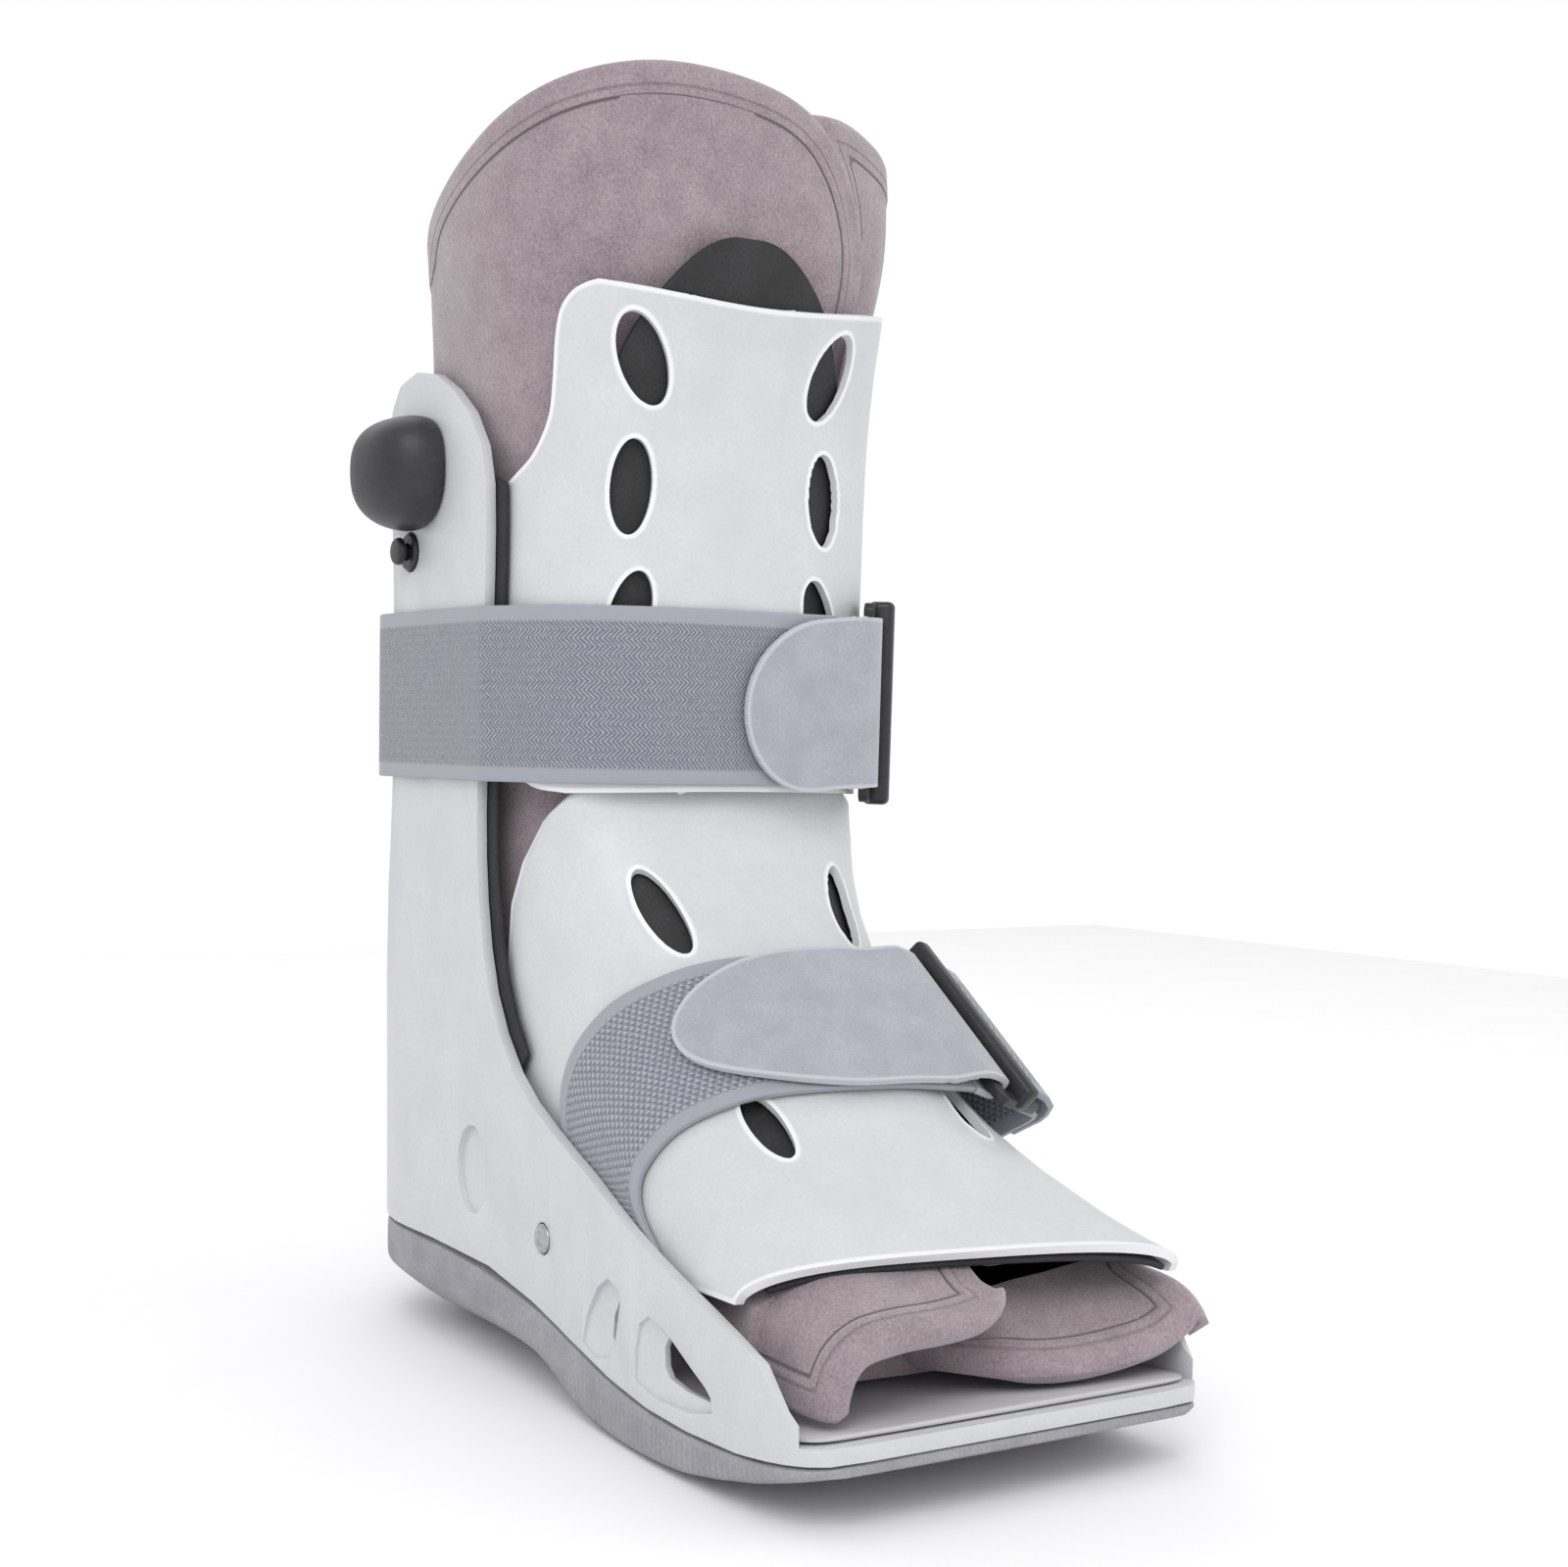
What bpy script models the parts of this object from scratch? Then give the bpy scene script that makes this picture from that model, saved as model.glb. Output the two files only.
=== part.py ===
"""Pneumatic walking boot: moulded shell on a rocker sole, two front plates, padded liner, air pads, straps and pump.

Z is up, the toe points to -Y, and the pump is on the -X side. Sizes are in millimetres, and the
last step of each mesh turns them into metres.
"""

import math

import bmesh
import bpy
import numpy as np
from mathutils import Vector
from mathutils.bvhtree import BVHTree

MM = 0.001
GAP = 0.4

# Moulded shell
TOE_REACH = 176.0
HEEL_CENTRE = 42.0
HEEL_DEPTH = 56.0
HEEL_POWER = 2.2
HALF_WIDTH = 57.0
FLARE_START = 20.0
FLARE = 0.0185
BALL_SPREAD = 4.5
WALL = 3.0
UPRIGHT_TOP = 280.0
FLOOR_THICKNESS = 4.0

# Front plates
PLATE = 2.4
SHIN_INSET = 5.4
SHIN_CENTRE = -2.0
SHIN_DEPTH = 46.0
SHIN_TOP = 297.0
SHIN_POWER = 3.0
SHIN_TURN = -4.5
INSTEP_HALF_WIDTH = HALF_WIDTH - WALL
INSTEP_POWER = 2.65
TOE_POWER = 3.1
TOE_SKEW = 10.0

# Soft goods
LINER = 6.0
LINER_HALF_WIDTH = HALF_WIDTH + 6.5
PAD = 3.2
SIDE_PAD = 1.6
INSOLE = 1.4

# Straps
STRAP_WIDTH = 48.0
STRAP = 1.8
UPPER_STRAP_FOOT = 163.0
UPPER_RING_TURN = 52.5
BAR = 3.6
BAR_THICK = 3.0
RING_LENGTH = 57.0
RING_WIDTH = 19.0
RING_PLAY = 0.4

# Pump, valve and snaps
PUMP_HEIGHT = 33.0
PUMP_LENGTH = 40.0
PUMP_RISE = 17.5
PUMP_Y = HEEL_CENTRE - 8.5
PUMP_Z = UPRIGHT_TOP - 29.5
VALVE_Y = HEEL_CENTRE - 3.5
VALVE_Z = UPRIGHT_TOP - 51.5
VALVE_RADIUS = 5.6
STEM_RADIUS = 2.2
HEAD_RADIUS = 4.0
BUTTON_TRAVEL = 1.5
RIVET_Y = -45.0
RIVET_Z = 43.0
RIVET_RADIUS = 4.0

WHITE = (0.74, 0.75, 0.76)
RUBBER_GREY = (0.46, 0.46, 0.49)
MAUVE = (0.40, 0.33, 0.36)
WEB_GREY = (0.35, 0.36, 0.41)
TAB_GREY = (0.48, 0.48, 0.52)
BLACK = (0.02, 0.02, 0.022)
STEEL = (0.60, 0.60, 0.62)

# Rim of the shell from the toe corner up the upright and down to the heel.
# ahead: share of TOE_REACH ahead of the leg axis. up: share of UPRIGHT_TOP.
RIM = [
    {"ahead": 1.00, "up": 0.073},
    {"ahead": 0.985, "up": 0.078},
    {"ahead": 0.965, "up": 0.081},
    {"ahead": 0.945, "up": 0.093},
    {"ahead": 0.925, "up": 0.108},
    {"ahead": 0.903, "up": 0.124},
    {"ahead": 0.855, "up": 0.136},
    {"ahead": 0.758, "up": 0.156},
    {"ahead": 0.650, "up": 0.176},
    {"ahead": 0.534, "up": 0.199},
    {"ahead": 0.415, "up": 0.228},
    {"ahead": 0.332, "up": 0.246},
    {"ahead": 0.230, "up": 0.272},
    {"ahead": 0.165, "up": 0.298},
    {"ahead": 0.104, "up": 0.340},
    {"ahead": 0.060, "up": 0.395},
    {"ahead": 0.034, "up": 0.480},
    {"ahead": 0.032, "up": 0.580},
    {"ahead": 0.056, "up": 0.740},
    {"ahead": 0.064, "up": 0.850},
    {"ahead": 0.055, "up": 0.895},
    {"ahead": 0.030, "up": 0.928},
    {"ahead": -0.017, "up": 0.957},
    {"ahead": -0.075, "up": 0.980},
    {"ahead": -0.140, "up": 0.997},
    {"ahead": -0.190, "up": 1.000},
    {"ahead": -0.245, "up": 0.994},
    {"ahead": -0.292, "up": 0.978},
    {"ahead": -0.315, "up": 0.950},
    {"ahead": -0.312, "up": 0.900},
    {"ahead": -0.295, "up": 0.780},
    {"ahead": -0.300, "up": 0.612},
    {"ahead": -0.335, "up": 0.475},
    {"ahead": -0.385, "up": 0.36},
    {"ahead": -0.44, "up": 0.285},
    {"ahead": -0.50, "up": 0.24},
    {"ahead": -0.60, "up": 0.226},
]

# Corner of the shell's plan at the toe: how far in from the side and back from the toe.
TOE_CORNER = [(18.0, 0.0), (7.8, 1.2), (4.0, 4.8), (1.7, 10.0), (0.5, 16.0)]

# Underside of the shell, where the rubber sole meets it, from the heel to the toe.
UNDERSIDE = [
    {"ahead": -0.60, "up": 0.108},
    {"ahead": -0.37, "up": 0.109},
    {"ahead": -0.14, "up": 0.109},
    {"ahead": 0.07, "up": 0.105},
    {"ahead": 0.22, "up": 0.089},
    {"ahead": 0.35, "up": 0.071},
    {"ahead": 0.48, "up": 0.056},
    {"ahead": 0.60, "up": 0.048},
    {"ahead": 0.72, "up": 0.046},
    {"ahead": 0.84, "up": 0.048},
    {"ahead": 1.00, "up": 0.058},
]

# Rubber sole below that line. ridge: height of the edge where its side turns under, tread: height of
# the tread's own edge, both shares of UPRIGHT_TOP. inset: how far in that edge is, share of HALF_WIDTH.
SOLE = [
    {"ahead": -0.60, "ridge": 0.064, "tread": 0.012, "inset": 0.46},
    {"ahead": -0.42, "ridge": 0.062, "tread": 0.003, "inset": 0.46},
    {"ahead": -0.30, "ridge": 0.062, "tread": 0.0, "inset": 0.46},
    {"ahead": 0.14, "ridge": 0.060, "tread": 0.0, "inset": 0.44},
    {"ahead": 0.22, "ridge": 0.050, "tread": 0.0, "inset": 0.36},
    {"ahead": 0.33, "ridge": 0.021, "tread": 0.0, "inset": 0.16},
    {"ahead": 0.42, "ridge": 0.009, "tread": 0.0, "inset": 0.06},
    {"ahead": 0.58, "ridge": 0.006, "tread": 0.0, "inset": 0.04},
    {"ahead": 0.72, "ridge": 0.012, "tread": 0.006, "inset": 0.04},
    {"ahead": 0.86, "ridge": 0.030, "tread": 0.024, "inset": 0.04},
    {"ahead": 1.00, "ridge": 0.053, "tread": 0.047, "inset": 0.04},
]

# Edge of the shin plate: how far round from straight ahead it reaches, in degrees, at each height.
SHIN_EDGE = [
    {"up": 1.000, "round": 46.5, "dip": 1.0, "deep": 1.22},
    {"up": 0.997, "round": 50.0, "dip": 0.95, "deep": 1.215},
    {"up": 0.990, "round": 54.0, "dip": 0.85, "deep": 1.20},
    {"up": 0.975, "round": 57.5, "dip": 0.60, "deep": 1.17},
    {"up": 0.950, "round": 59.3, "dip": 0.30, "deep": 1.12},
    {"up": 0.915, "round": 60.3, "dip": 0.0, "deep": 1.07},
    {"up": 0.885, "round": 61.5, "dip": 0.0, "deep": 1.04},
    {"up": 0.862, "round": 64.5, "dip": 0.0, "deep": 1.025},
    {"up": 0.845, "round": 68.5, "dip": 0.0, "deep": 1.02},
    {"up": 0.832, "round": 74.5, "dip": 0.0, "deep": 1.018},
    {"up": 0.820, "round": 81.5, "dip": 0.0, "deep": 1.015},
    {"up": 0.808, "round": 88.0, "dip": 0.0, "deep": 1.01},
    {"up": 0.780, "round": 91.0, "dip": 0.0, "deep": 1.01},
    {"up": 0.700, "round": 92.0, "dip": 0.0, "deep": 1.005},
    {"up": 0.610, "round": 90.0, "dip": 0.0, "deep": 1.0},
    {"up": 0.570, "round": 80.0, "dip": -0.1, "deep": 1.0},
    {"up": 0.546, "round": 68.0, "dip": -0.2, "deep": 1.0},
    {"up": 0.540, "round": 56.0, "dip": -0.2, "deep": 1.0},
]

# Vents of the shin plate. out: degrees from its middle line, lean: degrees the top leans outward.
SHIN_VENTS = [
    {"up": 0.932, "out": 31.5, "tall": 25.5, "wide": 13.0, "lean": 20.0},
    {"up": 0.818, "out": 34.5, "tall": 26.0, "wide": 11.5, "lean": -4.0},
    {"up": 0.700, "out": 34.5, "tall": 26.0, "wide": 11.5, "lean": -14.0},
]

# Instep plate, section by section from the ankle to the toe: its middle line, then its side edge, as
# (y, z). reach: the edge's own half width, share of INSTEP_HALF_WIDTH.
INSTEP = [
    {"middle": (-39.0, 170.0), "edge": (-30.0, 160.5), "reach": 0.78},
    {"middle": (-41.0, 164.0), "edge": (-25.0, 152.5), "reach": 0.91},
    {"middle": (-45.0, 153.0), "edge": (-18.0, 141.0), "reach": 0.955},
    {"middle": (-51.0, 141.5), "edge": (-12.5, 129.0), "reach": 0.965},
    {"middle": (-59.0, 131.0), "edge": (-11.0, 114.0), "reach": 0.965},
    {"middle": (-69.5, 120.5), "edge": (-12.0, 99.0), "reach": 0.965},
    {"middle": (-81.0, 110.0), "edge": (-17.5, 86.0), "reach": 0.965},
    {"middle": (-94.0, 99.0), "edge": (-29.0, 74.5), "reach": 0.967},
    {"middle": (-107.0, 88.5), "edge": (-47.0, 65.0), "reach": 0.975},
    {"middle": (-120.0, 79.0), "edge": (-72.0, 56.5), "reach": 0.998},
    {"middle": (-133.0, 70.5), "edge": (-97.0, 49.0), "reach": 1.022},
    {"middle": (-145.5, 62.5), "edge": (-123.0, 45.0), "reach": 1.06},
    {"middle": (-157.0, 55.0), "edge": (-152.0, 45.5), "reach": 1.075},
]

# Vents of the instep plate. place: row of INSTEP, across: share of the way to the side edge.
INSTEP_VENTS = [
    {"place": 4.05, "across": 0.305, "tall": 29.0, "wide": 10.0, "lean": 12.0},
    {"place": 8.65, "across": 0.31, "tall": 25.0, "wide": 8.6, "lean": 5.0},
]

# The lower strap's path over the instep plate: the places of its rear and front edges.
LOWER_PATH = [
    {"across": -0.975, "rear": 7.95, "front": 10.25},
    {"across": -0.93, "rear": 7.30, "front": 9.60},
    {"across": -0.86, "rear": 6.72, "front": 9.12},
    {"across": -0.76, "rear": 6.22, "front": 8.78},
    {"across": -0.60, "rear": 5.75, "front": 8.42},
    {"across": -0.42, "rear": 5.50, "front": 8.22},
    {"across": -0.25, "rear": 5.36, "front": 8.15},
    {"across": -0.08, "rear": 5.32, "front": 8.18},
    {"across": 0.10, "rear": 5.34, "front": 8.25},
]
LOWER_TUCK = [
    {"across": 0.83, "rear": 6.70, "front": 9.00},
    {"across": 0.90, "rear": 7.20, "front": 9.50},
    {"across": 0.94, "rear": 7.60, "front": 9.90},
    {"across": 0.97, "rear": 7.95, "front": 10.25},
]
LOWER_RING_REAR = (40.6, -71.0, 110.1)
LOWER_RING_FRONT = (46.4, -107.5, 79.4)

# Black pad behind the shin plate. round: half of its width in degrees round the leg.
SHIN_PAD = [
    {"up": 1.048, "round": 5.0},
    {"up": 1.044, "round": 11.0},
    {"up": 1.028, "round": 18.0},
    {"up": 1.000, "round": 25.0},
    {"up": 0.970, "round": 33.0},
    {"up": 0.915, "round": 42.0},
    {"up": 0.885, "round": 44.5},
    {"up": 0.862, "round": 46.0},
    {"up": 0.832, "round": 47.0},
    {"up": 0.700, "round": 48.0},
    {"up": 0.600, "round": 50.0},
]

# Liner, section by section from the leg opening to the toe: a point in front (or on top) and the one
# behind (or below) it, as (y, z). wide: share of LINER_HALF_WIDTH.
LINER_SECTIONS = [
    {"front": (-51.0, 358.5), "back": (59.0, 302.0), "wide": 1.06},
    {"front": (-52.5, 340.0), "back": (60.5, 288.0), "wide": 1.085},
    {"front": (-51.5, 320.0), "back": (61.5, 272.0), "wide": 1.075},
    {"front": (-49.0, 298.0), "back": (62.0, 256.0), "wide": 0.99},
    {"front": (-46.0, 272.0), "back": (62.0, 238.0), "wide": 0.895},
    {"front": (-44.0, 240.0), "back": (62.0, 214.0), "wide": 0.87},
    {"front": (-40.5, 205.0), "back": (61.0, 184.0), "wide": 0.81},
    {"front": (-39.5, 172.0), "back": (65.0, 146.0), "wide": 0.80},
    {"front": (-39.5, 151.5), "back": (75.0, 108.0), "wide": 0.795},
    {"front": (-43.5, 137.5), "back": (85.0, 74.0), "wide": 0.795},
    {"front": (-50.5, 126.5), "back": (87.0, 48.0), "wide": 0.79},
    {"front": (-61.5, 115.0), "back": (58.0, 37.5), "wide": 0.785},
    {"front": (-75.0, 102.5), "back": (14.0, 37.0), "wide": 0.79},
    {"front": (-91.0, 89.5), "back": (-30.0, 33.2), "wide": 0.80},
    {"front": (-108.5, 76.0), "back": (-70.0, 24.6), "wide": 0.83},
    {"front": (-126.0, 64.0), "back": (-108.0, 20.2), "wide": 0.865},
    {"front": (-143.0, 53.5), "back": (-140.0, 20.0), "wide": 0.895},
    {"front": (-158.0, 46.0), "back": (-158.0, 20.8), "wide": 0.895},
    {"front": (-170.0, 43.0), "back": (-170.0, 22.4), "wide": 0.875},
]


def clear_scene():
    for obj in list(bpy.data.objects):
        bpy.data.objects.remove(obj, do_unlink=True)


def collection(name, hidden=False):
    made = bpy.data.collections.new(name)
    bpy.context.scene.collection.children.link(made)
    made.hide_render = hidden
    return made


def material(name, colour, roughness):
    made = bpy.data.materials.new(name)
    made.use_nodes = True
    shader = made.node_tree.nodes["Principled BSDF"]
    shader.inputs["Base Color"].default_value = (*colour, 1.0)
    shader.inputs["Roughness"].default_value = roughness
    made.diffuse_color = (*colour, 1.0)
    return made


def solid(name, points, faces, colour=None, roughness=0.5):
    """A mesh object from points in millimetres. Without a colour it is a cutter."""
    mesh = bpy.data.meshes.new(name)
    mesh.from_pydata([tuple(p) for p in np.asarray(points) * MM], [], faces)
    obj = bpy.data.objects.new(name, mesh)
    if colour is None:
        obj.hide_render = True
        obj.display_type = "WIRE"
        CUTTERS.objects.link(obj)
    else:
        PARTS.objects.link(obj)
        mesh.materials.append(material(name, colour, roughness))
    return obj


def face_outward(obj):
    """Turns all the faces of a closed mesh outward."""
    shape = bmesh.new()
    shape.from_mesh(obj.data)
    bmesh.ops.recalc_face_normals(shape, faces=shape.faces)
    shape.to_mesh(obj.data)
    shape.free()
    return obj


def shade_smooth(obj):
    for face in obj.data.polygons:
        face.use_smooth = True
    obj.data.set_sharp_from_angle(angle=math.radians(35))
    return obj


def boolean(obj, cutter, operation="DIFFERENCE"):
    step = obj.modifiers.new(cutter.name, "BOOLEAN")
    step.object = cutter
    step.operation = operation
    step.solver = "EXACT"


def smooth(table, count):
    """Even points on a smooth curve through a table's rows."""
    rows = np.asarray(table, float)
    ends = np.vstack([2 * rows[0] - rows[1], rows, 2 * rows[-1] - rows[-2]])
    length = np.concatenate([[0], np.cumsum(np.linalg.norm(np.diff(rows, axis=0), axis=1))])
    made = []
    for place in np.linspace(0, length[-1], count):
        i = min(int(np.searchsorted(length, place, side="right")) - 1, len(rows) - 2)
        t = (place - length[i]) / (length[i + 1] - length[i])
        a, b, c, d = ends[i : i + 4]
        bend = (2 * a - 5 * b + 4 * c - d) * t**2 + (3 * b - a - 3 * c + d) * t**3
        made.append(0.5 * (2 * b + (c - a) * t + bend))
    return np.array(made)


def smooth_step(t):
    t = min(max(t, 0.0), 1.0)
    return t * t * (3 - 2 * t)


def side_line(table):
    """A side-view table as (y, z) rows."""
    return np.array([(-row["ahead"] * TOE_REACH, row["up"] * UPRIGHT_TOP) for row in table])


def column(table, name):
    return np.array([row[name] for row in table])


def along_foot(table, name, y):
    """A column of a table that runs from the heel to the toe, at one y."""
    return np.interp(-y / TOE_REACH, column(table, "ahead"), column(table, name))


def underside(y):
    return along_foot(UNDERSIDE, "up", y) * UPRIGHT_TOP


def half_width(z):
    """Half width of the uprights and the heel cup at one height."""
    return HALF_WIDTH + FLARE * (z - FLARE_START)


def spread(y):
    """How much wider than the heel each side is, at the ball of the foot."""
    return BALL_SPREAD * smooth_step((-y - 35) / 95)


def grid_faces(rows, columns):
    return [
        (r * columns + c, (r + 1) * columns + c, (r + 1) * columns + c + 1, r * columns + c + 1)
        for r in range(rows - 1)
        for c in range(columns - 1)
    ]


def normals(grid):
    """Unit normals of a grid of points: outward where rows run down and columns run towards +X."""
    made = np.cross(np.gradient(grid, axis=0), np.gradient(grid, axis=1))
    return made / np.linalg.norm(made, axis=2, keepdims=True)


def sheet(name, grid, thickness, colour, roughness=0.5):
    """A sheet that follows a grid of points and is thick behind its outer side."""
    rows, columns = grid.shape[:2]
    obj = solid(name, grid.reshape(-1, 3), grid_faces(rows, columns), colour, roughness)
    step = obj.modifiers.new("thickness", "SOLIDIFY")
    step.thickness = thickness * MM
    step.offset = -1.0
    step.use_even_offset = True
    return shade_smooth(obj)


def loft(name, rings, colour=None, roughness=0.5):
    """A closed solid from rings of equal count, capped at both ends."""
    count = len(rings[0])
    faces = []
    for r in range(len(rings) - 1):
        for i in range(count):
            j = (i + 1) % count
            faces.append((r * count + i, r * count + j, (r + 1) * count + j, (r + 1) * count + i))
    last = (len(rings) - 1) * count
    faces += [tuple(range(count)), tuple(range(last + count - 1, last - 1, -1))]
    return face_outward(solid(name, [p for ring in rings for p in ring], faces, colour, roughness))


def prism(name, outline, left, right, colour=None):
    """A side-view outline of (y, z) points, run from x = left to x = right."""
    return loft(name, [[(x, y, z) for y, z in outline] for x in (left, right)], colour)


def circle(y, z, radius, count=14):
    turns = np.linspace(0, 2 * math.pi, count + 1)[:-1]
    return [(y + radius * math.cos(a), z + radius * math.sin(a)) for a in turns]


def both_sides():
    return ((-1, "left"), (1, "right"))


def heel_path(inset, z, toe):
    """Half of the shell's plan at one height on the +X side, from the toe's corner to the heel's middle."""
    wide = half_width(z) - inset
    side = [(wide + spread(y), y) for y in np.linspace(-152, -40, 9)]
    front = [(wide + BALL_SPREAD - cut, toe + back) for cut, back in TOE_CORNER]
    turn = np.linspace(0, math.pi / 2, 12)
    deep = HEEL_DEPTH - inset
    heel = [
        (wide * math.cos(a) ** (2 / HEEL_POWER), HEEL_CENTRE + deep * math.sin(a) ** (2 / HEEL_POWER)) for a in turn
    ]
    heel[-1] = (0.0, HEEL_CENTRE + deep)
    return front + side + [(wide, 0.0)] + heel


def mirrored(half):
    """A closed ring from its +X half, whose last point is on the middle line."""
    return [tuple(p) for p in half] + [(-p[0], *p[1:]) for p in half[-2::-1]]


def shell_column(name, inset, toe, foot, top, colour=None, roughness=0.5):
    """The shell's plan run up from z = foot to z = top as the sides flare."""
    rings = [mirrored([(x, y, z) for x, y in heel_path(inset, z, toe)]) for z in (foot, top)]
    return loft(name, rings, colour, roughness)


def build_base_shell():
    """One moulding: foot tray, heel cup, side walls with windows, and the two uprights."""
    shell = shell_column("base_shell", 0.0, -TOE_REACH, -5.0, UPRIGHT_TOP + 12, WHITE, 0.38)
    far = -TOE_REACH - 4
    outline = list(smooth(side_line(RIM), 52)) + [(120.0, RIM[-1]["up"] * UPRIGHT_TOP)]
    outline += [(120.0, underside(110.0))] + list(side_line(UNDERSIDE)) + [(far, underside(far))]
    outline += [(far, RIM[0]["up"] * UPRIGHT_TOP)]
    boolean(shell, prism("cut_profile", outline, -90.0, 90.0), "INTERSECT")
    cavity = shell_column("cut_cavity", WALL, -TOE_REACH - 40, 0.0, UPRIGHT_TOP + 30)
    floor = [(y, z + FLOOR_THICKNESS) for y, z in side_line(UNDERSIDE)]
    floor = [(130.0, floor[0][1])] + floor + [(far - 60, floor[-1][1]), (far - 60, 330), (130, 330)]
    boolean(cavity, prism("cut_floor", floor, -90.0, 90.0), "INTERSECT")
    boolean(shell, cavity)
    for side, label in both_sides():
        for name, outline, depth in windows():
            near = side * (HALF_WIDTH + 12)
            deep = side * (half_width(40) + (spread(outline[0][0]) if "heel" not in name else 0) - depth)
            boolean(shell, prism(f"cut_{name}_{label}", outline, near, deep))
        outline = circle(RIVET_Y, RIVET_Z, RIVET_RADIUS + GAP)
        boolean(shell, prism(f"cut_snap_{label}", outline, side * (HALF_WIDTH + 9), side * (HALF_WIDTH - 9)))
    wall = half_width(VALVE_Z)
    boolean(shell, prism("cut_valve", circle(VALVE_Y, VALVE_Z, VALVE_RADIUS + GAP), -wall - 6, -wall + 9))
    return shade_smooth(shell)


def windows():
    """Name, side-view outline and depth of each recess and opening in the side walls."""
    oval = [(-2.0 + 9.5 * math.cos(a), 54.5 + 12.5 * math.sin(a)) for a in np.linspace(0, 2 * math.pi, 15)[:-1]]
    slit = [(-9.8, 46.5), (-11.0, 51.0), (-11.3, 55.5), (-10.3, 60.5), (-8.0, 64.5), (-8.0, 57.0), (-8.3, 50.0)]
    first_bay = [(-69, 21), (-72, 29), (-78, 37), (-84, 40.5), (-91, 39), (-89, 26), (-85, 20.5), (-76, 18.5)]
    first = [(-84, 25.5), (-84.5, 31), (-88.5, 37.5), (-91.5, 36), (-88.5, 25), (-86.5, 23.5)]
    second_bay = [(-100, 18.5), (-100, 26), (-102, 33), (-107, 36), (-114, 35), (-128, 30), (-137, 23.5)]
    second_bay += [(-138, 20), (-128, 17.5), (-112, 16.8)]
    second = [(-113.5, 25), (-113, 29.5), (-115, 32.5), (-124, 28), (-134.5, 23), (-134.5, 21.5), (-124, 21.5)]
    second += [(-115.5, 22.8)]
    through = 12.0
    return [
        ("heel_bay", oval, 1.6),
        ("heel_slit", slit, through),
        ("bay_first", first_bay, 1.0),
        ("slot_first", first, through),
        ("bay_second", second_bay, 1.0),
        ("slot_second", second, through),
    ]


def build_outsole():
    """Rubber rocker sole: the shell's plan, ridged at the heel and turned under to a narrower tread."""
    half = heel_path(0.0, FLARE_START, -TOE_REACH)
    rings = [mirrored([sole_point(x, y, share) for x, y in half]) for share in (0.0, 1.0, 1.3, 1.65, 2.0)]
    count = len(rings[0])
    points = [p for ring in rings for p in ring]
    faces = []
    for r in range(len(rings) - 1):
        for i in range(count):
            j = (i + 1) % count
            faces.append((r * count + i, r * count + j, (r + 1) * count + j, (r + 1) * count + i))
    for base in (0, (len(rings) - 1) * count):
        for i in range(count // 2):
            j = count - 1 - i
            quad = (base + i, base + i + 1, base + j - 1, base + j)
            faces.append(quad if i + 1 < j - 1 else quad[:2] + quad[3:])
    return shade_smooth(face_outward(solid("outsole", points, faces, RUBBER_GREY, 0.7)))


def sole_point(x, y, share):
    """One point of the sole's edge. share: 0 at the shell, 1 at the ridge, 2 at the tread's edge."""
    top = underside(y) - GAP
    ridge = along_foot(SOLE, "ridge", y) * UPRIGHT_TOP
    if share <= 1:
        return (x, y, top + (ridge - top) * share)
    under = share - 1
    inward = along_foot(SOLE, "inset", y) * HALF_WIDTH * (0.75 * under + 0.25 * under**2)
    tread = along_foot(SOLE, "tread", y) * UPRIGHT_TOP
    back = HEEL_CENTRE + (y - HEEL_CENTRE) * (HEEL_DEPTH - inward) / HEEL_DEPTH if y > HEEL_CENTRE else y
    return (x * (HALF_WIDTH - inward) / HALF_WIDTH, back, ridge + (tread - ridge) * (1.15 * under - 0.15 * under**2))


def shin_section(z, angle, out=0.0):
    """A point on the shin plate's outer face. angle: degrees round from straight ahead, + is +X."""
    wide = half_width(z) - SHIN_INSET + out
    up = column(SHIN_EDGE, "up")[::-1] * SHIN_TOP
    deep = SHIN_DEPTH * np.interp(z, up, column(SHIN_EDGE, "deep")[::-1]) + out
    turn = math.radians(angle)
    s, c = abs(math.sin(turn)) / wide, abs(math.cos(turn)) / deep
    reach = (s**SHIN_POWER + c**SHIN_POWER) ** (-1 / SHIN_POWER)
    return (reach * math.sin(turn), SHIN_CENTRE - reach * math.cos(turn), z)


def shin_grid(columns=15):
    rows = []
    for row in SHIN_EDGE:
        shares = np.linspace(-1, 1, columns)
        heights = [row["up"] * SHIN_TOP - 4.5 * row["dip"] * (1 - s**2) for s in shares]
        rows.append([shin_section(z, row["round"] * s) for z, s in zip(heights, shares)])
    return np.array(rows)


def vent_cutter(name, centre, outward, upward, vent, lean):
    """An oval cutter through a plate, its long side turned from upward by lean degrees."""
    outward = outward / np.linalg.norm(outward)
    across = np.cross(outward, upward)
    across /= np.linalg.norm(across)
    along = np.cross(across, outward)
    turn = math.radians(lean)
    long = along * math.cos(turn) + across * math.sin(turn)
    short = across * math.cos(turn) - along * math.sin(turn)
    rings = []
    for reach in (-7.0, 6.0):
        middle = centre + outward * reach
        turns = np.linspace(0, 2 * math.pi, 13)[:-1]
        rings.append(
            [middle + long * vent["tall"] / 2 * math.cos(a) + short * vent["wide"] / 2 * math.sin(a) for a in turns]
        )
    return loft(name, rings)


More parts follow.
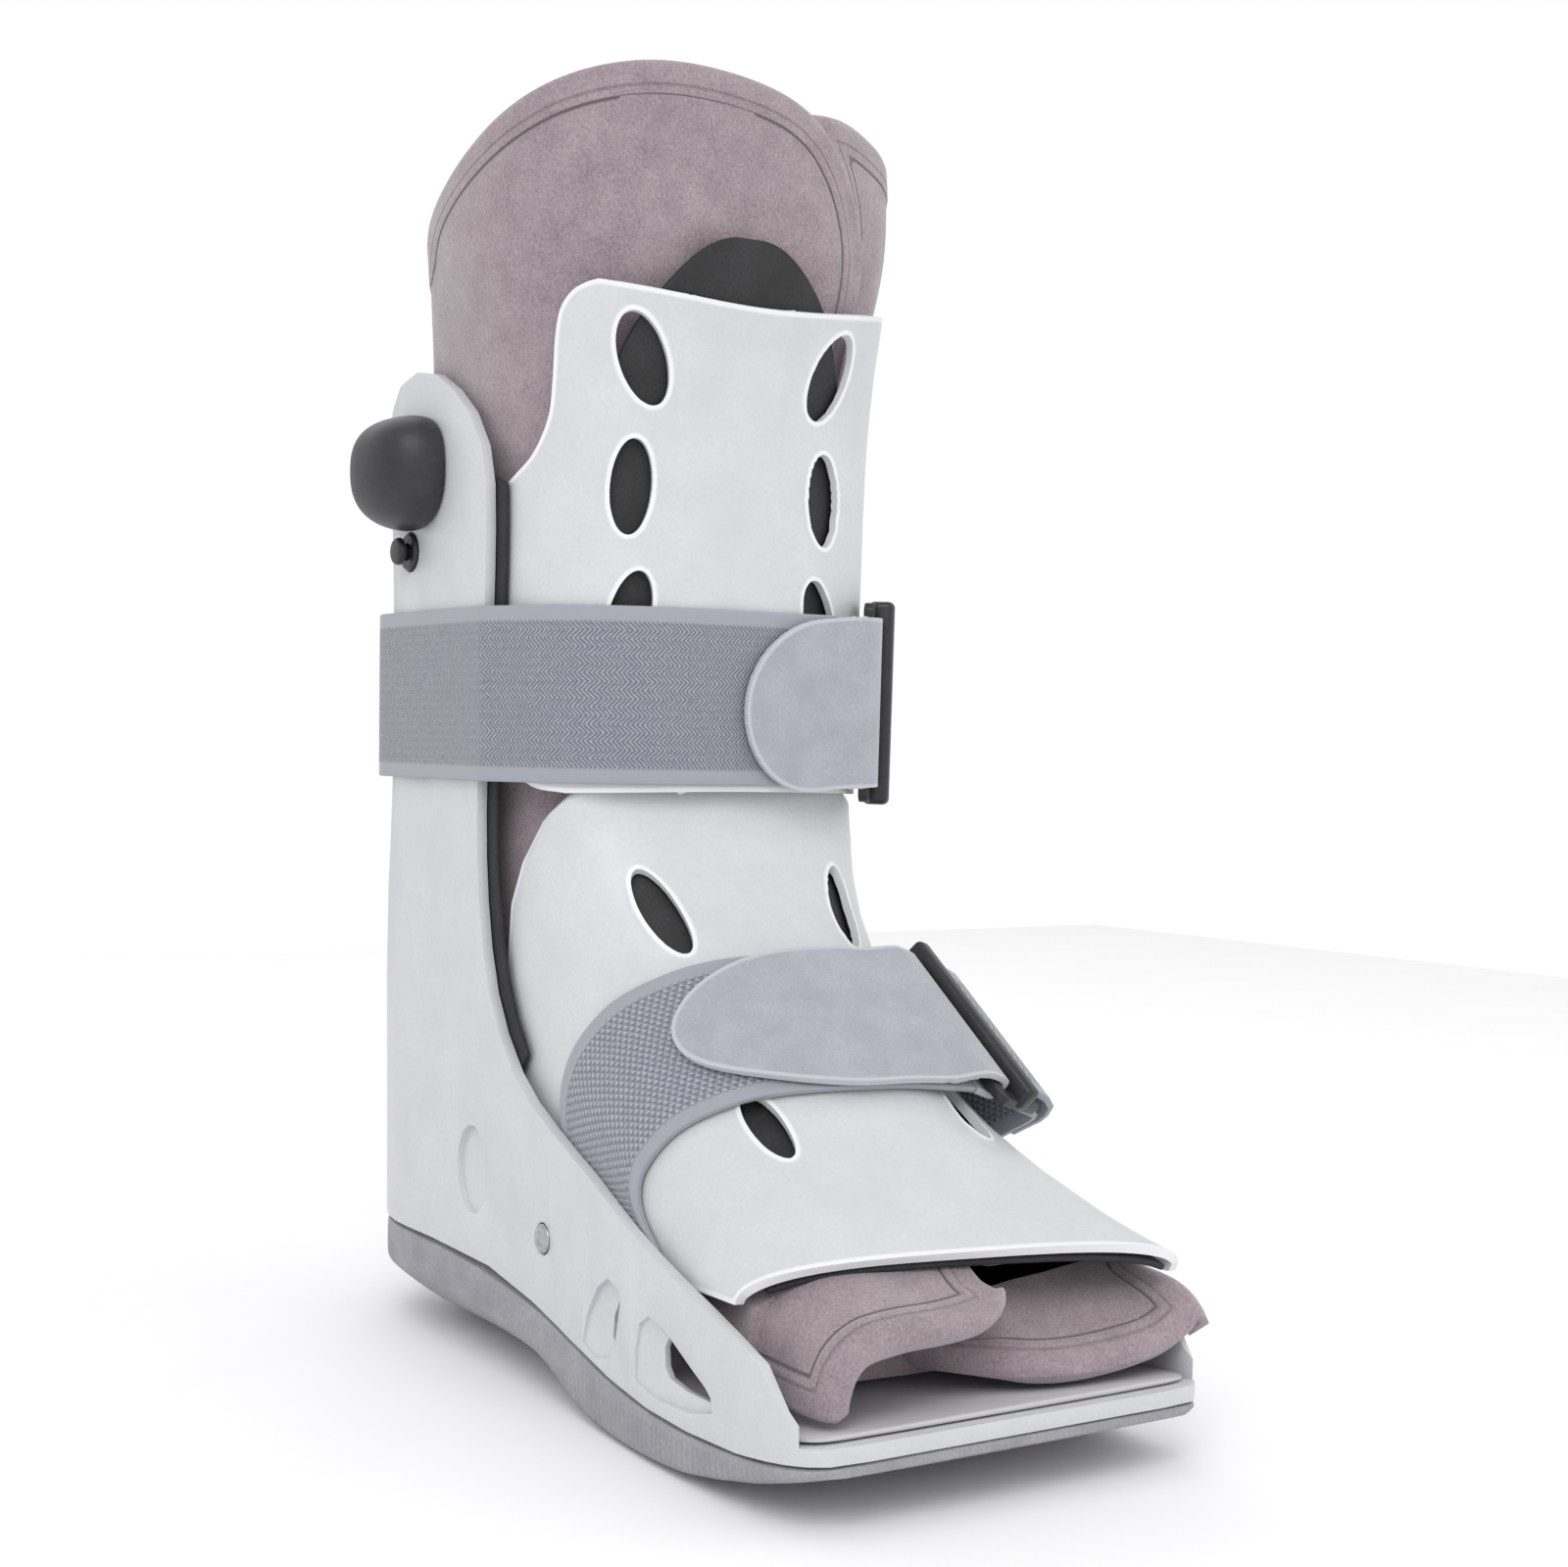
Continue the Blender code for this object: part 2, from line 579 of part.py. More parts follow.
def build_shin_shell():
    plate = sheet("shin_shell", shin_grid(), PLATE, WHITE, 0.38)
    for number, vent in enumerate(SHIN_VENTS, 1):
        for side, label in both_sides():
            z, angle = vent["up"] * SHIN_TOP, SHIN_TURN + vent["out"] * side
            centre = np.array(shin_section(z, angle))
            outward = np.cross(np.array(shin_section(z, angle + 1)) - centre, (0.0, 0.0, 1.0))
            name = f"cut_shin_vent_{number}_{label}"
            boolean(plate, vent_cutter(name, centre, outward, np.array((0.0, 0.0, 1.0)), vent, -vent["lean"] * side))
    return plate


def instep_point(place, across):
    """A point on the instep plate's outer face. place: row of INSTEP, across: -1 to 1 from side to side."""
    i = min(max(int(place), 0), len(INSTEP) - 2)
    t = place - i
    before, after = INSTEP[i], INSTEP[i + 1]
    middle = np.array(before["middle"]) * (1 - t) + np.array(after["middle"]) * t
    edge = np.array(before["edge"]) * (1 - t) + np.array(after["edge"]) * t
    reach = (before["reach"] * (1 - t) + after["reach"] * t) * INSTEP_HALF_WIDTH
    turn = min(abs(across), 1.0) * math.pi / 2
    power = INSTEP_POWER + (TOE_POWER - INSTEP_POWER) * smooth_step((place - 8.5) / 2.5)
    x = math.copysign(reach * math.sin(turn) ** (2 / power), across)
    y, z = middle + (edge - middle) * (1 - max(math.cos(turn), 0.0) ** (2 / power))
    skew = TOE_SKEW * max(0.0, (place - 8) / 4) ** 2
    return np.array((x, y - skew * x / INSTEP_HALF_WIDTH, z))


def instep_grid(places, across):
    return np.array([[instep_point(p, a) for a in across] for p in places])


def build_instep_shell():
    places = np.linspace(0, len(INSTEP) - 1, 15)
    plate = sheet("instep_shell", instep_grid(places, np.linspace(-1, 1, 15)), PLATE, WHITE, 0.38)
    for number, vent in enumerate(INSTEP_VENTS, 1):
        for side, label in both_sides():
            centre = instep_point(vent["place"], vent["across"] * side)
            across = instep_point(vent["place"], (vent["across"] + 0.02) * side) - centre
            behind = instep_point(vent["place"] - 0.1, vent["across"] * side) - centre
            outward = np.cross(across, behind) * side
            cutter = vent_cutter(
                f"cut_instep_vent_{number}_{label}", centre, outward, behind, vent, -vent["lean"] * side
            )
            boolean(plate, cutter)
    return plate


def grown(grid, reach):
    """A grid with one more row and column at each edge, going straight on by reach."""

    def longer(points):
        steps = [points[0] - points[1], points[-1] - points[-2]]
        ends = [
            end + reach * step / np.linalg.norm(step, axis=-1, keepdims=True)
            for end, step in zip((points[0], points[-1]), steps)
        ]
        return np.concatenate([ends[:1], points, ends[1:]])

    return longer(longer(grid).swapaxes(0, 1)).swapaxes(0, 1)


def plate_backs():
    """What the liner lies behind: both front plates with their pads, a little past their edges."""
    found = []
    shin = shin_grid()
    instep = instep_grid(range(len(INSTEP)), np.linspace(-1, 1, 21))
    for grid, reach in ((shin, 7.0), (instep, 9.0)):
        back = grid - normals(grid) * (PLATE + PAD + 5 * GAP)
        back = grown(back, reach)
        faces = grid_faces(*back.shape[:2])
        found.append(BVHTree.FromPolygons([Vector(p) for p in back.reshape(-1, 3)], faces))
    return found


def pressed(point, centre, backs):
    """The point, or where the way to it from the section's centre meets the back of a plate."""
    way = Vector(point) - Vector(centre)
    reach = way.length
    for back in backs:
        hit = back.ray_cast(Vector(centre), way.normalized(), reach)
        if hit[0] is not None:
            reach = min(reach, hit[3])
    return np.array(Vector(centre) + way.normalized() * reach)


def liner_point(row, share, place, backs):
    """A point of one liner section. share runs from the outer flap's free edge (0), past -X and the
    back, to the inner flap's edge (1). place: 0 at the leg opening, 1 at the toe.
    """
    front, back, wide = row[:2], row[2:4], row[4]
    start = 32.0 - 16.0 * smooth_step((place - 0.4) / 0.6)
    turn = math.radians(start - share * (start + 375.0))
    centre = (front + back) / 2
    deep = np.linalg.norm(front - back) / 2
    forward = (front - centre) / deep
    power = 2.7 if math.cos(turn) > 0 else 2.3
    x = math.copysign(wide * abs(math.sin(turn)) ** (2 / power), math.sin(turn))
    y, z = centre + forward * math.copysign(deep * abs(math.cos(turn)) ** (2 / power), math.cos(turn))
    # The toe end of the sole side is cut back, so that the insole shows on the foot tray.
    under = smooth_step((-math.cos(turn) - 0.66) / 0.2)
    y += 30.0 * under * smooth_step((place - 0.78) / 0.22)
    # The free corners at the leg opening are round.
    corner = max(0.0, 1 - min(share, 1 - share) / 0.12)
    if place < 0.2:
        z -= 38.0 * (1 - math.sqrt(1 - corner**2)) * (1 - place / 0.2)
    middle = np.array((0.0, *centre))
    point = pressed((x, y, z), middle, backs)
    # The inner flap lies under the outer one.
    inward = (point - middle) / np.linalg.norm(point - middle)
    point = point - inward * (LINER + GAP) * 1.15 * smooth_step((share - 0.80) / 0.07)
    wall = half_width(point[2]) + spread(point[1]) - WALL - 3 * GAP
    if point[2] < 262:
        wall -= SIDE_PAD + GAP
    wall += 1.3 * max(0.0, point[2] - 299)
    point[0] = min(max(point[0], -wall), wall)
    floor = underside(point[1]) + FLOOR_THICKNESS + INSOLE + 3 * GAP
    point[2] = max(point[2], floor)
    return point


def build_liner():
    table = np.array([(*r["front"], *r["back"], r["wide"] * LINER_HALF_WIDTH) for r in LINER_SECTIONS])
    places = np.linspace(0, 1, 19)
    shares = np.linspace(1, 0, 28)
    backs = plate_backs()
    rows = zip(smooth(table, 19), places)
    grid = np.array([[liner_point(row, s, p, backs) for s in shares] for row, p in rows])
    return sheet("liner", grid, LINER, MAUVE, 0.95)


def build_shin_pad():
    """Black air pad behind the shin plate, round at the top, where it stands above the plate."""
    rows = []
    for row in SHIN_PAD:
        angles = np.linspace(-row["round"], row["round"], 11) + SHIN_TURN
        rows.append([shin_section(row["up"] * SHIN_TOP, a, -PLATE - 1.5 * GAP) for a in angles])
    return sheet("shin_pad", np.array(rows), PAD, BLACK, 0.6)


def build_instep_pad():
    """Black air pad under the instep plate. Its edge shows below the plate's toe edge."""
    places = np.linspace(1.9, len(INSTEP) - 1, 11)
    grid = instep_grid(places, np.linspace(-0.66, 0.78, 10))
    grid = grid - normals(grid) * (PLATE + 1.5 * GAP)
    return sheet("instep_pad", grid, PAD - 0.4, BLACK, 0.6)


def build_side_pads():
    """Black pads between each upright and the leg, a little ahead of the upright's front edge."""
    front = [(y - 4.5, z + 1.0) for y, z in smooth(side_line(RIM), 58) if -50 < y < 0 and 86 < z < 244]
    front.sort(key=lambda p: p[1])
    outline = front + [(-8.0, 247.0), (20.0, 249.0), (40.0, 247.0), (40.0, 80.0), (20.0, 66.0), (-16.0, 74.0)]
    for side, label in both_sides():
        rings = []
        for deep in (WALL + GAP, WALL + GAP + SIDE_PAD):
            rings.append([(side * (half_width(z) - deep), y, z) for y, z in outline])
        loft(f"side_pad_{label}", rings, BLACK, 0.6)


def hull(points):
    """Convex outline of plan points, counterclockwise."""
    points = sorted(map(tuple, points))

    def turn(a, b, c):
        return (b[0] - a[0]) * (c[1] - a[1]) - (b[1] - a[1]) * (c[0] - a[0])

    def chain(order):
        made = []
        for p in order:
            while len(made) > 1 and turn(made[-2], made[-1], p) <= 0:
                made.pop()
            made.append(p)
        return made[:-1]

    return np.array(chain(points) + chain(points[::-1]))


def leg_outline(z, angles):
    """Points of a taut band's inner face at one height, one for each angle round from straight ahead."""
    plate = [shin_section(z, a)[:2] for a in np.linspace(-88, 88, 45)]
    wall = half_width(z)
    uprights = [(side * wall, y) for side in (-1, 1) for y in (-12.2, 20.0, 56.5)]
    liner = [(x, 65.0 - 8.5 * (abs(x) / 44.0) ** 2.4) for x in np.linspace(-44, 44, 15)]
    # The ring is flat, so the band is too where it lies under it.
    at_ring = np.array(shin_section(z, UPPER_RING_TURN)[:2])
    beside = np.array(shin_section(z, UPPER_RING_TURN + 2)[:2]) - at_ring
    beside *= (RING_WIDTH / 2 + 5) / np.linalg.norm(beside)
    outline = hull(plate + uprights + liner + [tuple(at_ring - beside), tuple(at_ring + beside)])
    centre = np.array((0.0, 12.0))
    following = np.roll(outline, -1, axis=0) - outline
    outward = np.stack([following[:, 1], -following[:, 0]], axis=1)
    outward /= np.linalg.norm(outward, axis=1, keepdims=True)
    depth = np.einsum("ij,ij->i", outline - centre, outward)
    made = []
    for angle in np.radians(angles):
        way = np.array((math.sin(angle), -math.cos(angle)))
        facing = outward @ way
        reach = np.min(depth[facing > 1e-6] / facing[facing > 1e-6])
        made.append((*(centre + way * reach), z))
    return np.array(made)


def unit(vector):
    return vector / np.linalg.norm(vector)


class Band:
    """A strap's inner face: two edges, with a place along it in millimetres from its start."""

    def __init__(self, first, second):
        self.first, self.second = np.asarray(first, float), np.asarray(second, float)
        middle = (self.first + self.second) / 2
        steps = np.linalg.norm(np.diff(middle, axis=0), axis=1)
        self.length = np.concatenate([[0.0], np.cumsum(steps)])

    def edge(self, points, place):
        """A point on one edge, going straight on past either end."""
        i = int(np.clip(np.searchsorted(self.length, place) - 1, 0, len(self.length) - 2))
        t = (place - self.length[i]) / (self.length[i + 1] - self.length[i])
        return points[i] + (points[i + 1] - points[i]) * t

    def frame(self, place):
        """Centre, way along, way across and way out at one place."""
        a, b = self.edge(self.first, place), self.edge(self.second, place)
        ahead = sum(self.edge(e, place + 2.0) - self.edge(e, place - 2.0) for e in (self.first, self.second))
        across = (b - a) / np.linalg.norm(b - a)
        ahead = ahead - across * (ahead @ across)
        ahead /= np.linalg.norm(ahead)
        return (a + b) / 2, ahead, across, np.cross(ahead, across)

    def at(self, place, share, out):
        """A point at share -1 to 1 of the band's width, out above its inner face."""
        a, b = self.edge(self.first, place), self.edge(self.second, place)
        return (a + b) / 2 + (b - a) / 2 * share + self.frame(place)[3] * out


def fold(side):
    """The (along, out) path round one bar of a ring: under it, round its slot side, and back over it."""
    low, high = GAP, 3 * GAP + 2 * STRAP + BAR_THICK + RING_PLAY
    middle = (low + high) / 2
    reach = BAR / 2 + GAP + STRAP
    return [
        (-4.5 * side, low),
        (0.0, low),
        (side * reach * 0.72, low + 0.5),
        (side * reach, middle - 1.4),
        (side * reach, middle + 1.4),
        (side * reach * 0.72, high - 0.5),
        (0.0, high),
    ]


def over_strap(along):
    """How far out a folded end lies, at one distance back from its bar: at the bar's top, then down on the strap."""
    high, over = fold(1)[-1][1], 4 * GAP + 2 * STRAP
    return over + (high - over) * smooth_step(1 - (along - 2.6) / 13.0)


def band_sheet(name, band, path, colour, count=3):
    """Webbing along a path of (place, out) rows on a band, each row the webbing's side away from the bars."""
    grid = np.array([[band.at(place, s, out) for s in np.linspace(-1, 1, count)] for place, out in path])
    return sheet(name, grid[:, ::-1], STRAP, colour, 0.9)


def slab(name, frame, centre, wide, long, thick, cut, colour=None):
    """A block lying along a band's frame, with its corners cut off."""
    ahead, across, out = frame
    outline = [(cut - wide, -long), (wide - cut, -long), (wide, cut - long), (wide, long - cut)]
    outline += [(-a, -b) for a, b in outline]
    rings = [[centre + ahead * a + across * b + out * lift for a, b in outline] for lift in (-thick, thick)]
    return loft(name, rings, colour, 0.35)


def build_ring(name, band, place):
    """A black slide standing on a band: three long bars and two slots between them."""
    centre, *frame = band.frame(place)
    centre = centre + frame[2] * (2 * GAP + STRAP + (BAR_THICK + RING_PLAY) / 2)
    ring = slab(name, frame, centre, RING_WIDTH / 2, RING_LENGTH / 2, BAR_THICK / 2, 1.6, BLACK)
    slot = (RING_WIDTH - 3 * BAR) / 4
    for side, label in both_sides():
        middle = centre + frame[0] * side * (BAR / 2 + slot)
        boolean(ring, slab(f"cut_{name}_{label}", frame, middle, slot, RING_LENGTH / 2 - BAR, 6.0, 0.8))
    return ring


def build_tab(name, band, bar, nose, droop=0.0):
    """The hook tab: round the ring's bar, then back over the strap to a round end.

    nose: how far back from the bar its end reaches. droop: how much lower the end lies, in half widths.
    """
    shares = np.sin(np.linspace(-math.pi / 2, math.pi / 2, 9))
    grid = [[band.at(bar + along, s, out) for s in shares] for along, out in fold(1)]
    steps = [3.0 / nose, 6.0 / nose, 9.5 / nose, 14.0 / nose]
    for step in steps + list(np.linspace(steps[-1], 1.0, 3 + int(nose / 14))[1:]):
        row = []
        for s in shares:
            back = nose * (0.45 + 0.55 * math.sqrt(max(0.0, 1 - s**2))) * step
            row.append(band.at(bar - back, s - droop * smooth_step(step), over_strap(back)))
        grid.append(row)
    return sheet(name, np.array(grid)[:, ::-1], STRAP, TAB_GREY, 0.9)


def upper_band():
    """The band round the leg: from the ring past the far side, the back and the near side, to the ring again."""
    turn = upper_ring_angle()
    corner = math.degrees(math.atan2(half_width(UPPER_STRAP_FOOT), 12.0 - 56.5))
    angles = np.concatenate([np.linspace(turn, -90, 25), np.linspace(-99, turn - 360, 19), [-corner, corner - 360]])
    angles = np.sort(angles)
    return Band(leg_outline(UPPER_STRAP_FOOT, angles), leg_outline(UPPER_STRAP_FOOT + STRAP_WIDTH, angles))


def upper_ring_angle():
    """The ring's place round the leg as seen from the band's own centre."""
    x, y, _ = shin_section(UPPER_STRAP_FOOT, UPPER_RING_TURN)
    return math.degrees(math.atan2(x, 12.0 - y))


def build_upper_strap():
    band = upper_band()
    total = band.length[-1]
    reach = (RING_WIDTH - BAR) / 2
    path = [(reach + along, over_strap(along)) for along in (22.0, 15.0, 10.0, 6.0, 3.0)]
    path += [(reach + along, out) for along, out in reversed(fold(-1))]
    path += [(place, GAP) for place in band.length if reach + 9 < place < total - reach - 9]
    path += [(total - reach - 4.5 - GAP, GAP)]
    band_sheet("upper_strap", band, path, WEB_GREY)
    build_tab("upper_tab", band, total - reach, 44.0, droop=0.14)
    build_ring("upper_ring", band, total)


def lower_band():
    """The band over the instep: from inside the near wall to the ring, and down inside the far wall."""
    names = ("front", "rear")
    lift = np.array((0.0, -0.3, 0.35))
    over = [[instep_point(row[name], row["across"]) + lift for row in LOWER_PATH] for name in names]
    tuck = [[instep_point(row[name], row["across"]) + (0.4, 0.0, 0.2) for row in LOWER_TUCK] for name in names]
    rings = [np.array(LOWER_RING_FRONT), np.array(LOWER_RING_REAR)]
    # The ring is flat, so both edges run straight and the same way where they lie under it.
    ways = [4 * unit(ring - path[-1]) + unit(end[0] - ring) for path, ring, end in zip(over, rings, tuck)]
    way = unit(ways[0] + ways[1]) * (RING_WIDTH / 2 + 4)
    edges = []
    for path, ring, end in zip(over, rings, tuck):
        edges.append(smooth(path + [ring + way * share for share in (-1, -0.9, 0, 0.9, 1)] + end, 90))
    return Band(*edges)


def build_lower_strap():
    band = lower_band()
    ring = (np.array(LOWER_RING_REAR) + np.array(LOWER_RING_FRONT)) / 2
    middle = (band.first + band.second) / 2
    place = band.length[int(np.argmin(np.linalg.norm(middle - ring, axis=1)))]
    reach = (RING_WIDTH - BAR) / 2
    path = [(at, GAP) for at in band.length[::3] if at < place - reach - 8] + [(place - reach - 4.5 - GAP, GAP)]
    band_sheet("lower_strap", band, path, WEB_GREY)
    build_tab("lower_tab", band, place - reach, 78.0, droop=0.1)
    build_ring("lower_ring", band, place)
    rear = place + reach
    path = [(rear + along, over_strap(along)) for along in (17.0, 11.0, 6.0, 3.0)]
    path += [(rear + along, out) for along, out in reversed(fold(-1))]
    path += [(at, GAP) for at in band.length[::3] if at > rear + 8]
    band_sheet("lower_anchor", band, path, WEB_GREY)


def build_pump():
    """Black rubber bulb on the near upright: a rounded square with a flat top edge."""
    base = []
    for turn in np.linspace(0, 2 * math.pi, 25)[:-1]:
        c, s = math.cos(turn), math.sin(turn)
        power = 3.0 if s > 0 else 2.3
        reach = (abs(c) ** power + abs(s) ** power) ** (-1 / power)
        base.append((PUMP_LENGTH / 2 * reach * c, PUMP_HEIGHT / 2 * reach * s))
    rings = []
    for rise, size in ((0.0, 0.97), (0.06, 1.0), (0.25, 1.0), (0.48, 0.95), (0.7, 0.84), (0.87, 0.66), (0.97, 0.4), (1, 0.15)):
        rings.append(
            [
                (-half_width(PUMP_Z + z * size) - GAP - rise * PUMP_RISE, PUMP_Y + y * size, PUMP_Z + z * size)
                for y, z in base
            ]
        )
    return shade_smooth(loft("pump_bulb", rings, BLACK, 0.45))


def turned(name, profile, y, z, side, colour, roughness=0.4, count=14):
    """A solid turned round an axis along X. profile: (distance out from the wall, radius) rows."""
    wall = half_width(z)
    rings = [[(side * (wall + out), *p) for p in circle(y, z, radius, count)] for out, radius in profile]
    return shade_smooth(loft(name, rings, colour, roughness))


def build_valve():
    seat = [(-WALL, VALVE_RADIUS), (0.6, VALVE_RADIUS), (1.2, VALVE_RADIUS - 0.6)]
    seat = turned("valve_seat", seat, VALVE_Y, VALVE_Z, -1, BLACK)
    wall = half_width(VALVE_Z)
    bore = circle(VALVE_Y, VALVE_Z, STEM_RADIUS + GAP)
    boolean(seat, prism("cut_bore", bore, -wall - 9, -wall + 9))
    head = 1.2 + GAP + BUTTON_TRAVEL
    button = [(-1.6, STEM_RADIUS), (head, STEM_RADIUS), (head, HEAD_RADIUS), (head + 1.4, HEAD_RADIUS)]
    turned("valve_button", button + [(head + 2.0, HEAD_RADIUS - 0.7)], VALVE_Y, VALVE_Z, -1, BLACK)


def build_rivets():
    profile = [(-WALL - 0.6, 3.2), (-WALL, RIVET_RADIUS), (0.5, RIVET_RADIUS), (1.1, RIVET_RADIUS - 0.7)]
    profile += [(1.1, 2.1), (0.6, 1.7)]
    for side, label in both_sides():
        turned(f"rivet_{label}", profile, RIVET_Y, RIVET_Z, side, STEEL)


def build_insole():
    """Light grey lining of the foot tray, with rounded ends."""
    toe, heel = -TOE_REACH + 4.0, HEEL_CENTRE + HEEL_DEPTH - WALL - 4.0
    rows = []
    bends = [y for y, _ in side_line(UNDERSIDE) if toe + 12 < y < 40]
    for y in [toe, toe + 1.2, toe + 4.0, toe + 9.0] + bends[::-1] + list(np.linspace(44, heel - 1, 7)):
        wide = half_width(underside(y)) + spread(y) - WALL - 2 * GAP
        wide -= 8.0 * (1 - math.sqrt(max(0.0, 1 - max(0.0, (toe + 9.0 - y) / 9.0) ** 2)))
        if y > HEEL_CENTRE:
            wide *= (1 - ((y - HEEL_CENTRE) / (heel - HEEL_CENTRE)) ** HEEL_POWER) ** (1 / HEEL_POWER)
        z = underside(y) + FLOOR_THICKNESS + GAP
        rows.append([(x * wide, y, z) for x in (-1, 0, 1)])
    return sheet("insole", np.array(rows), INSOLE, (0.58, 0.57, 0.60), 0.95)


def main():
    build_base_shell()
    build_outsole()
    build_shin_shell()
    build_instep_shell()
    build_liner()
    build_shin_pad()
    build_instep_pad()
    build_side_pads()
    build_upper_strap()
    build_lower_strap()
    build_pump()
    build_valve()
    build_rivets()
    build_insole()


clear_scene()
PARTS = collection("walking_boot")
CUTTERS = collection("cutters", hidden=True)
main()
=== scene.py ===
"""Looks of a tall walking boot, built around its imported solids.

Z is up, the toe points to -Y and the pump is on the -X side. Forms are worked out in millimetres, and
are turned into metres where a mesh is made.
"""

import logging
import math
from dataclasses import dataclass, field
from enum import Enum

import bmesh
import bpy
import numpy as np
from mathutils import Matrix, Vector, kdtree


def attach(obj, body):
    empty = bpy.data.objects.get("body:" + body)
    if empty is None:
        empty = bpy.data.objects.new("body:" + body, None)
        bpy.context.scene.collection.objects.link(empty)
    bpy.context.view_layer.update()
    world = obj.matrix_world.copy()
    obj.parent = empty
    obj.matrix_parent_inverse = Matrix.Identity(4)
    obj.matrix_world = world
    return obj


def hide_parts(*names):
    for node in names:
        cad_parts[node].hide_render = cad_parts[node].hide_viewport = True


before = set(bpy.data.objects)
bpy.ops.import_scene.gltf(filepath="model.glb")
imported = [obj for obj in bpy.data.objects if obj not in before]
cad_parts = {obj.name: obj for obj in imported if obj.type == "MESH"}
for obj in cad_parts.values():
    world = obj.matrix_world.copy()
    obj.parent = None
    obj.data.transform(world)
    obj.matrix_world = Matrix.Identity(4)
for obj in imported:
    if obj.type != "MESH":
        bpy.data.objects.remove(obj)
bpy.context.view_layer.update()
LOG = logging.getLogger("walking_boot")

MM = 0.001
GAP = 0.4

# Driving sizes, the same as those of the solids
HALF_WIDTH = 57.0
FLARE_START = 20.0
FLARE = 0.0185
PLATE = 2.4
SHIN_INSET = 5.4
SHIN_CENTRE = -2.0
SHIN_DEPTH = 46.0
SHIN_TOP = 297.0
SHIN_POWER = 3.0
SHIN_TURN = -4.5
INSTEP_HALF_WIDTH = 54.0
INSTEP_POWER = 2.65
TOE_POWER = 3.1
TOE_SKEW = 10.0
STRAP_WIDTH = 48.0
STRAP = 1.8
UPPER_STRAP_FOOT = 163.0
UPPER_RING_TURN = 52.5
BAR = 3.6
BAR_THICK = 3.0
RING_WIDTH = 19.0
RING_PLAY = 0.4
FOLD_START = 4.5

# A taut band round the leg: its middle, where it meets the uprights, and the rounded back of the liner
LEG_MIDDLE = 12.0
UPRIGHT_STOPS = (-12.2, 20.0, 56.5)
LINER_BACK = 65.0
LINER_BACK_HALF = 44.0
LINER_BACK_SAG = 8.5
LINER_BACK_POWER = 2.4

# Edge of the shin plate: share of its height, degrees round from straight ahead, dip and depth share.
SHIN_EDGE = [
    (1.000, 46.5, 1.0, 1.22),
    (0.997, 50.0, 0.95, 1.215),
    (0.990, 54.0, 0.85, 1.20),
    (0.975, 57.5, 0.60, 1.17),
    (0.950, 59.3, 0.30, 1.12),
    (0.915, 60.3, 0.0, 1.07),
    (0.885, 61.5, 0.0, 1.04),
    (0.862, 64.5, 0.0, 1.025),
    (0.845, 68.5, 0.0, 1.02),
    (0.832, 74.5, 0.0, 1.018),
    (0.820, 81.5, 0.0, 1.015),
    (0.808, 88.0, 0.0, 1.01),
    (0.780, 91.0, 0.0, 1.01),
    (0.700, 92.0, 0.0, 1.005),
    (0.610, 90.0, 0.0, 1.0),
    (0.570, 80.0, -0.1, 1.0),
    (0.546, 68.0, -0.2, 1.0),
    (0.540, 56.0, -0.2, 1.0),
]

# Vents of the shin plate: share of its height, degrees out, tall, wide, lean in degrees.
SHIN_VENTS = [
    (0.932, 31.5, 25.5, 13.0, 20.0),
    (0.818, 34.5, 26.0, 11.5, -4.0),
    (0.700, 34.5, 26.0, 11.5, -14.0),
]

# Instep plate by section: its middle (y, z), its side edge (y, z), and that edge's reach share.
INSTEP = [
    (-39.0, 170.0, -30.0, 160.5, 0.78),
    (-41.0, 164.0, -25.0, 152.5, 0.91),
    (-45.0, 153.0, -18.0, 141.0, 0.955),
    (-51.0, 141.5, -12.5, 129.0, 0.965),
    (-59.0, 131.0, -11.0, 114.0, 0.965),
    (-69.5, 120.5, -12.0, 99.0, 0.965),
    (-81.0, 110.0, -17.5, 86.0, 0.965),
    (-94.0, 99.0, -29.0, 74.5, 0.967),
    (-107.0, 88.5, -47.0, 65.0, 0.975),
    (-120.0, 79.0, -72.0, 56.5, 0.998),
    (-133.0, 70.5, -97.0, 49.0, 1.022),
    (-145.5, 62.5, -123.0, 45.0, 1.06),
    (-157.0, 55.0, -152.0, 45.5, 1.075),
]

# Vents of the instep plate: row of INSTEP, share of the way to the side edge, tall, wide, lean.
INSTEP_VENTS = [
    (4.05, 0.305, 29.0, 10.0, 12.0),
    (8.65, 0.31, 25.0, 8.6, 5.0),
]

# The lower strap's path over the instep plate: share across, row of its rear edge, row of its front edge.
LOWER_PATH = [
    (-0.975, 7.95, 10.25),
    (-0.93, 7.30, 9.60),
    (-0.86, 6.72, 9.12),
    (-0.76, 6.22, 8.78),
    (-0.60, 5.75, 8.42),
    (-0.42, 5.50, 8.22),
    (-0.25, 5.36, 8.15),
    (-0.08, 5.32, 8.18),
    (0.10, 5.34, 8.25),
]
LOWER_TUCK = [
    (0.83, 6.70, 9.00),
    (0.90, 7.20, 9.50),
    (0.94, 7.60, 9.90),
    (0.97, 7.95, 10.25),
]
LOWER_RING_REAR = (40.6, -71.0, 110.1)
LOWER_RING_FRONT = (46.4, -107.5, 79.4)


def linear(code: str) -> tuple[float, float, float, float]:
    """The linear colour of an sRGB hex value.

    Args:
        code: a colour such as "#D0D1D4".

    Returns:
        Red, green, blue and an alpha of 1.
    """
    parts = [int(code[i : i + 2], 16) / 255 for i in (1, 3, 5)]
    return (*(p / 12.92 if p <= 0.04045 else ((p + 0.055) / 1.055) ** 2.4 for p in parts), 1.0)


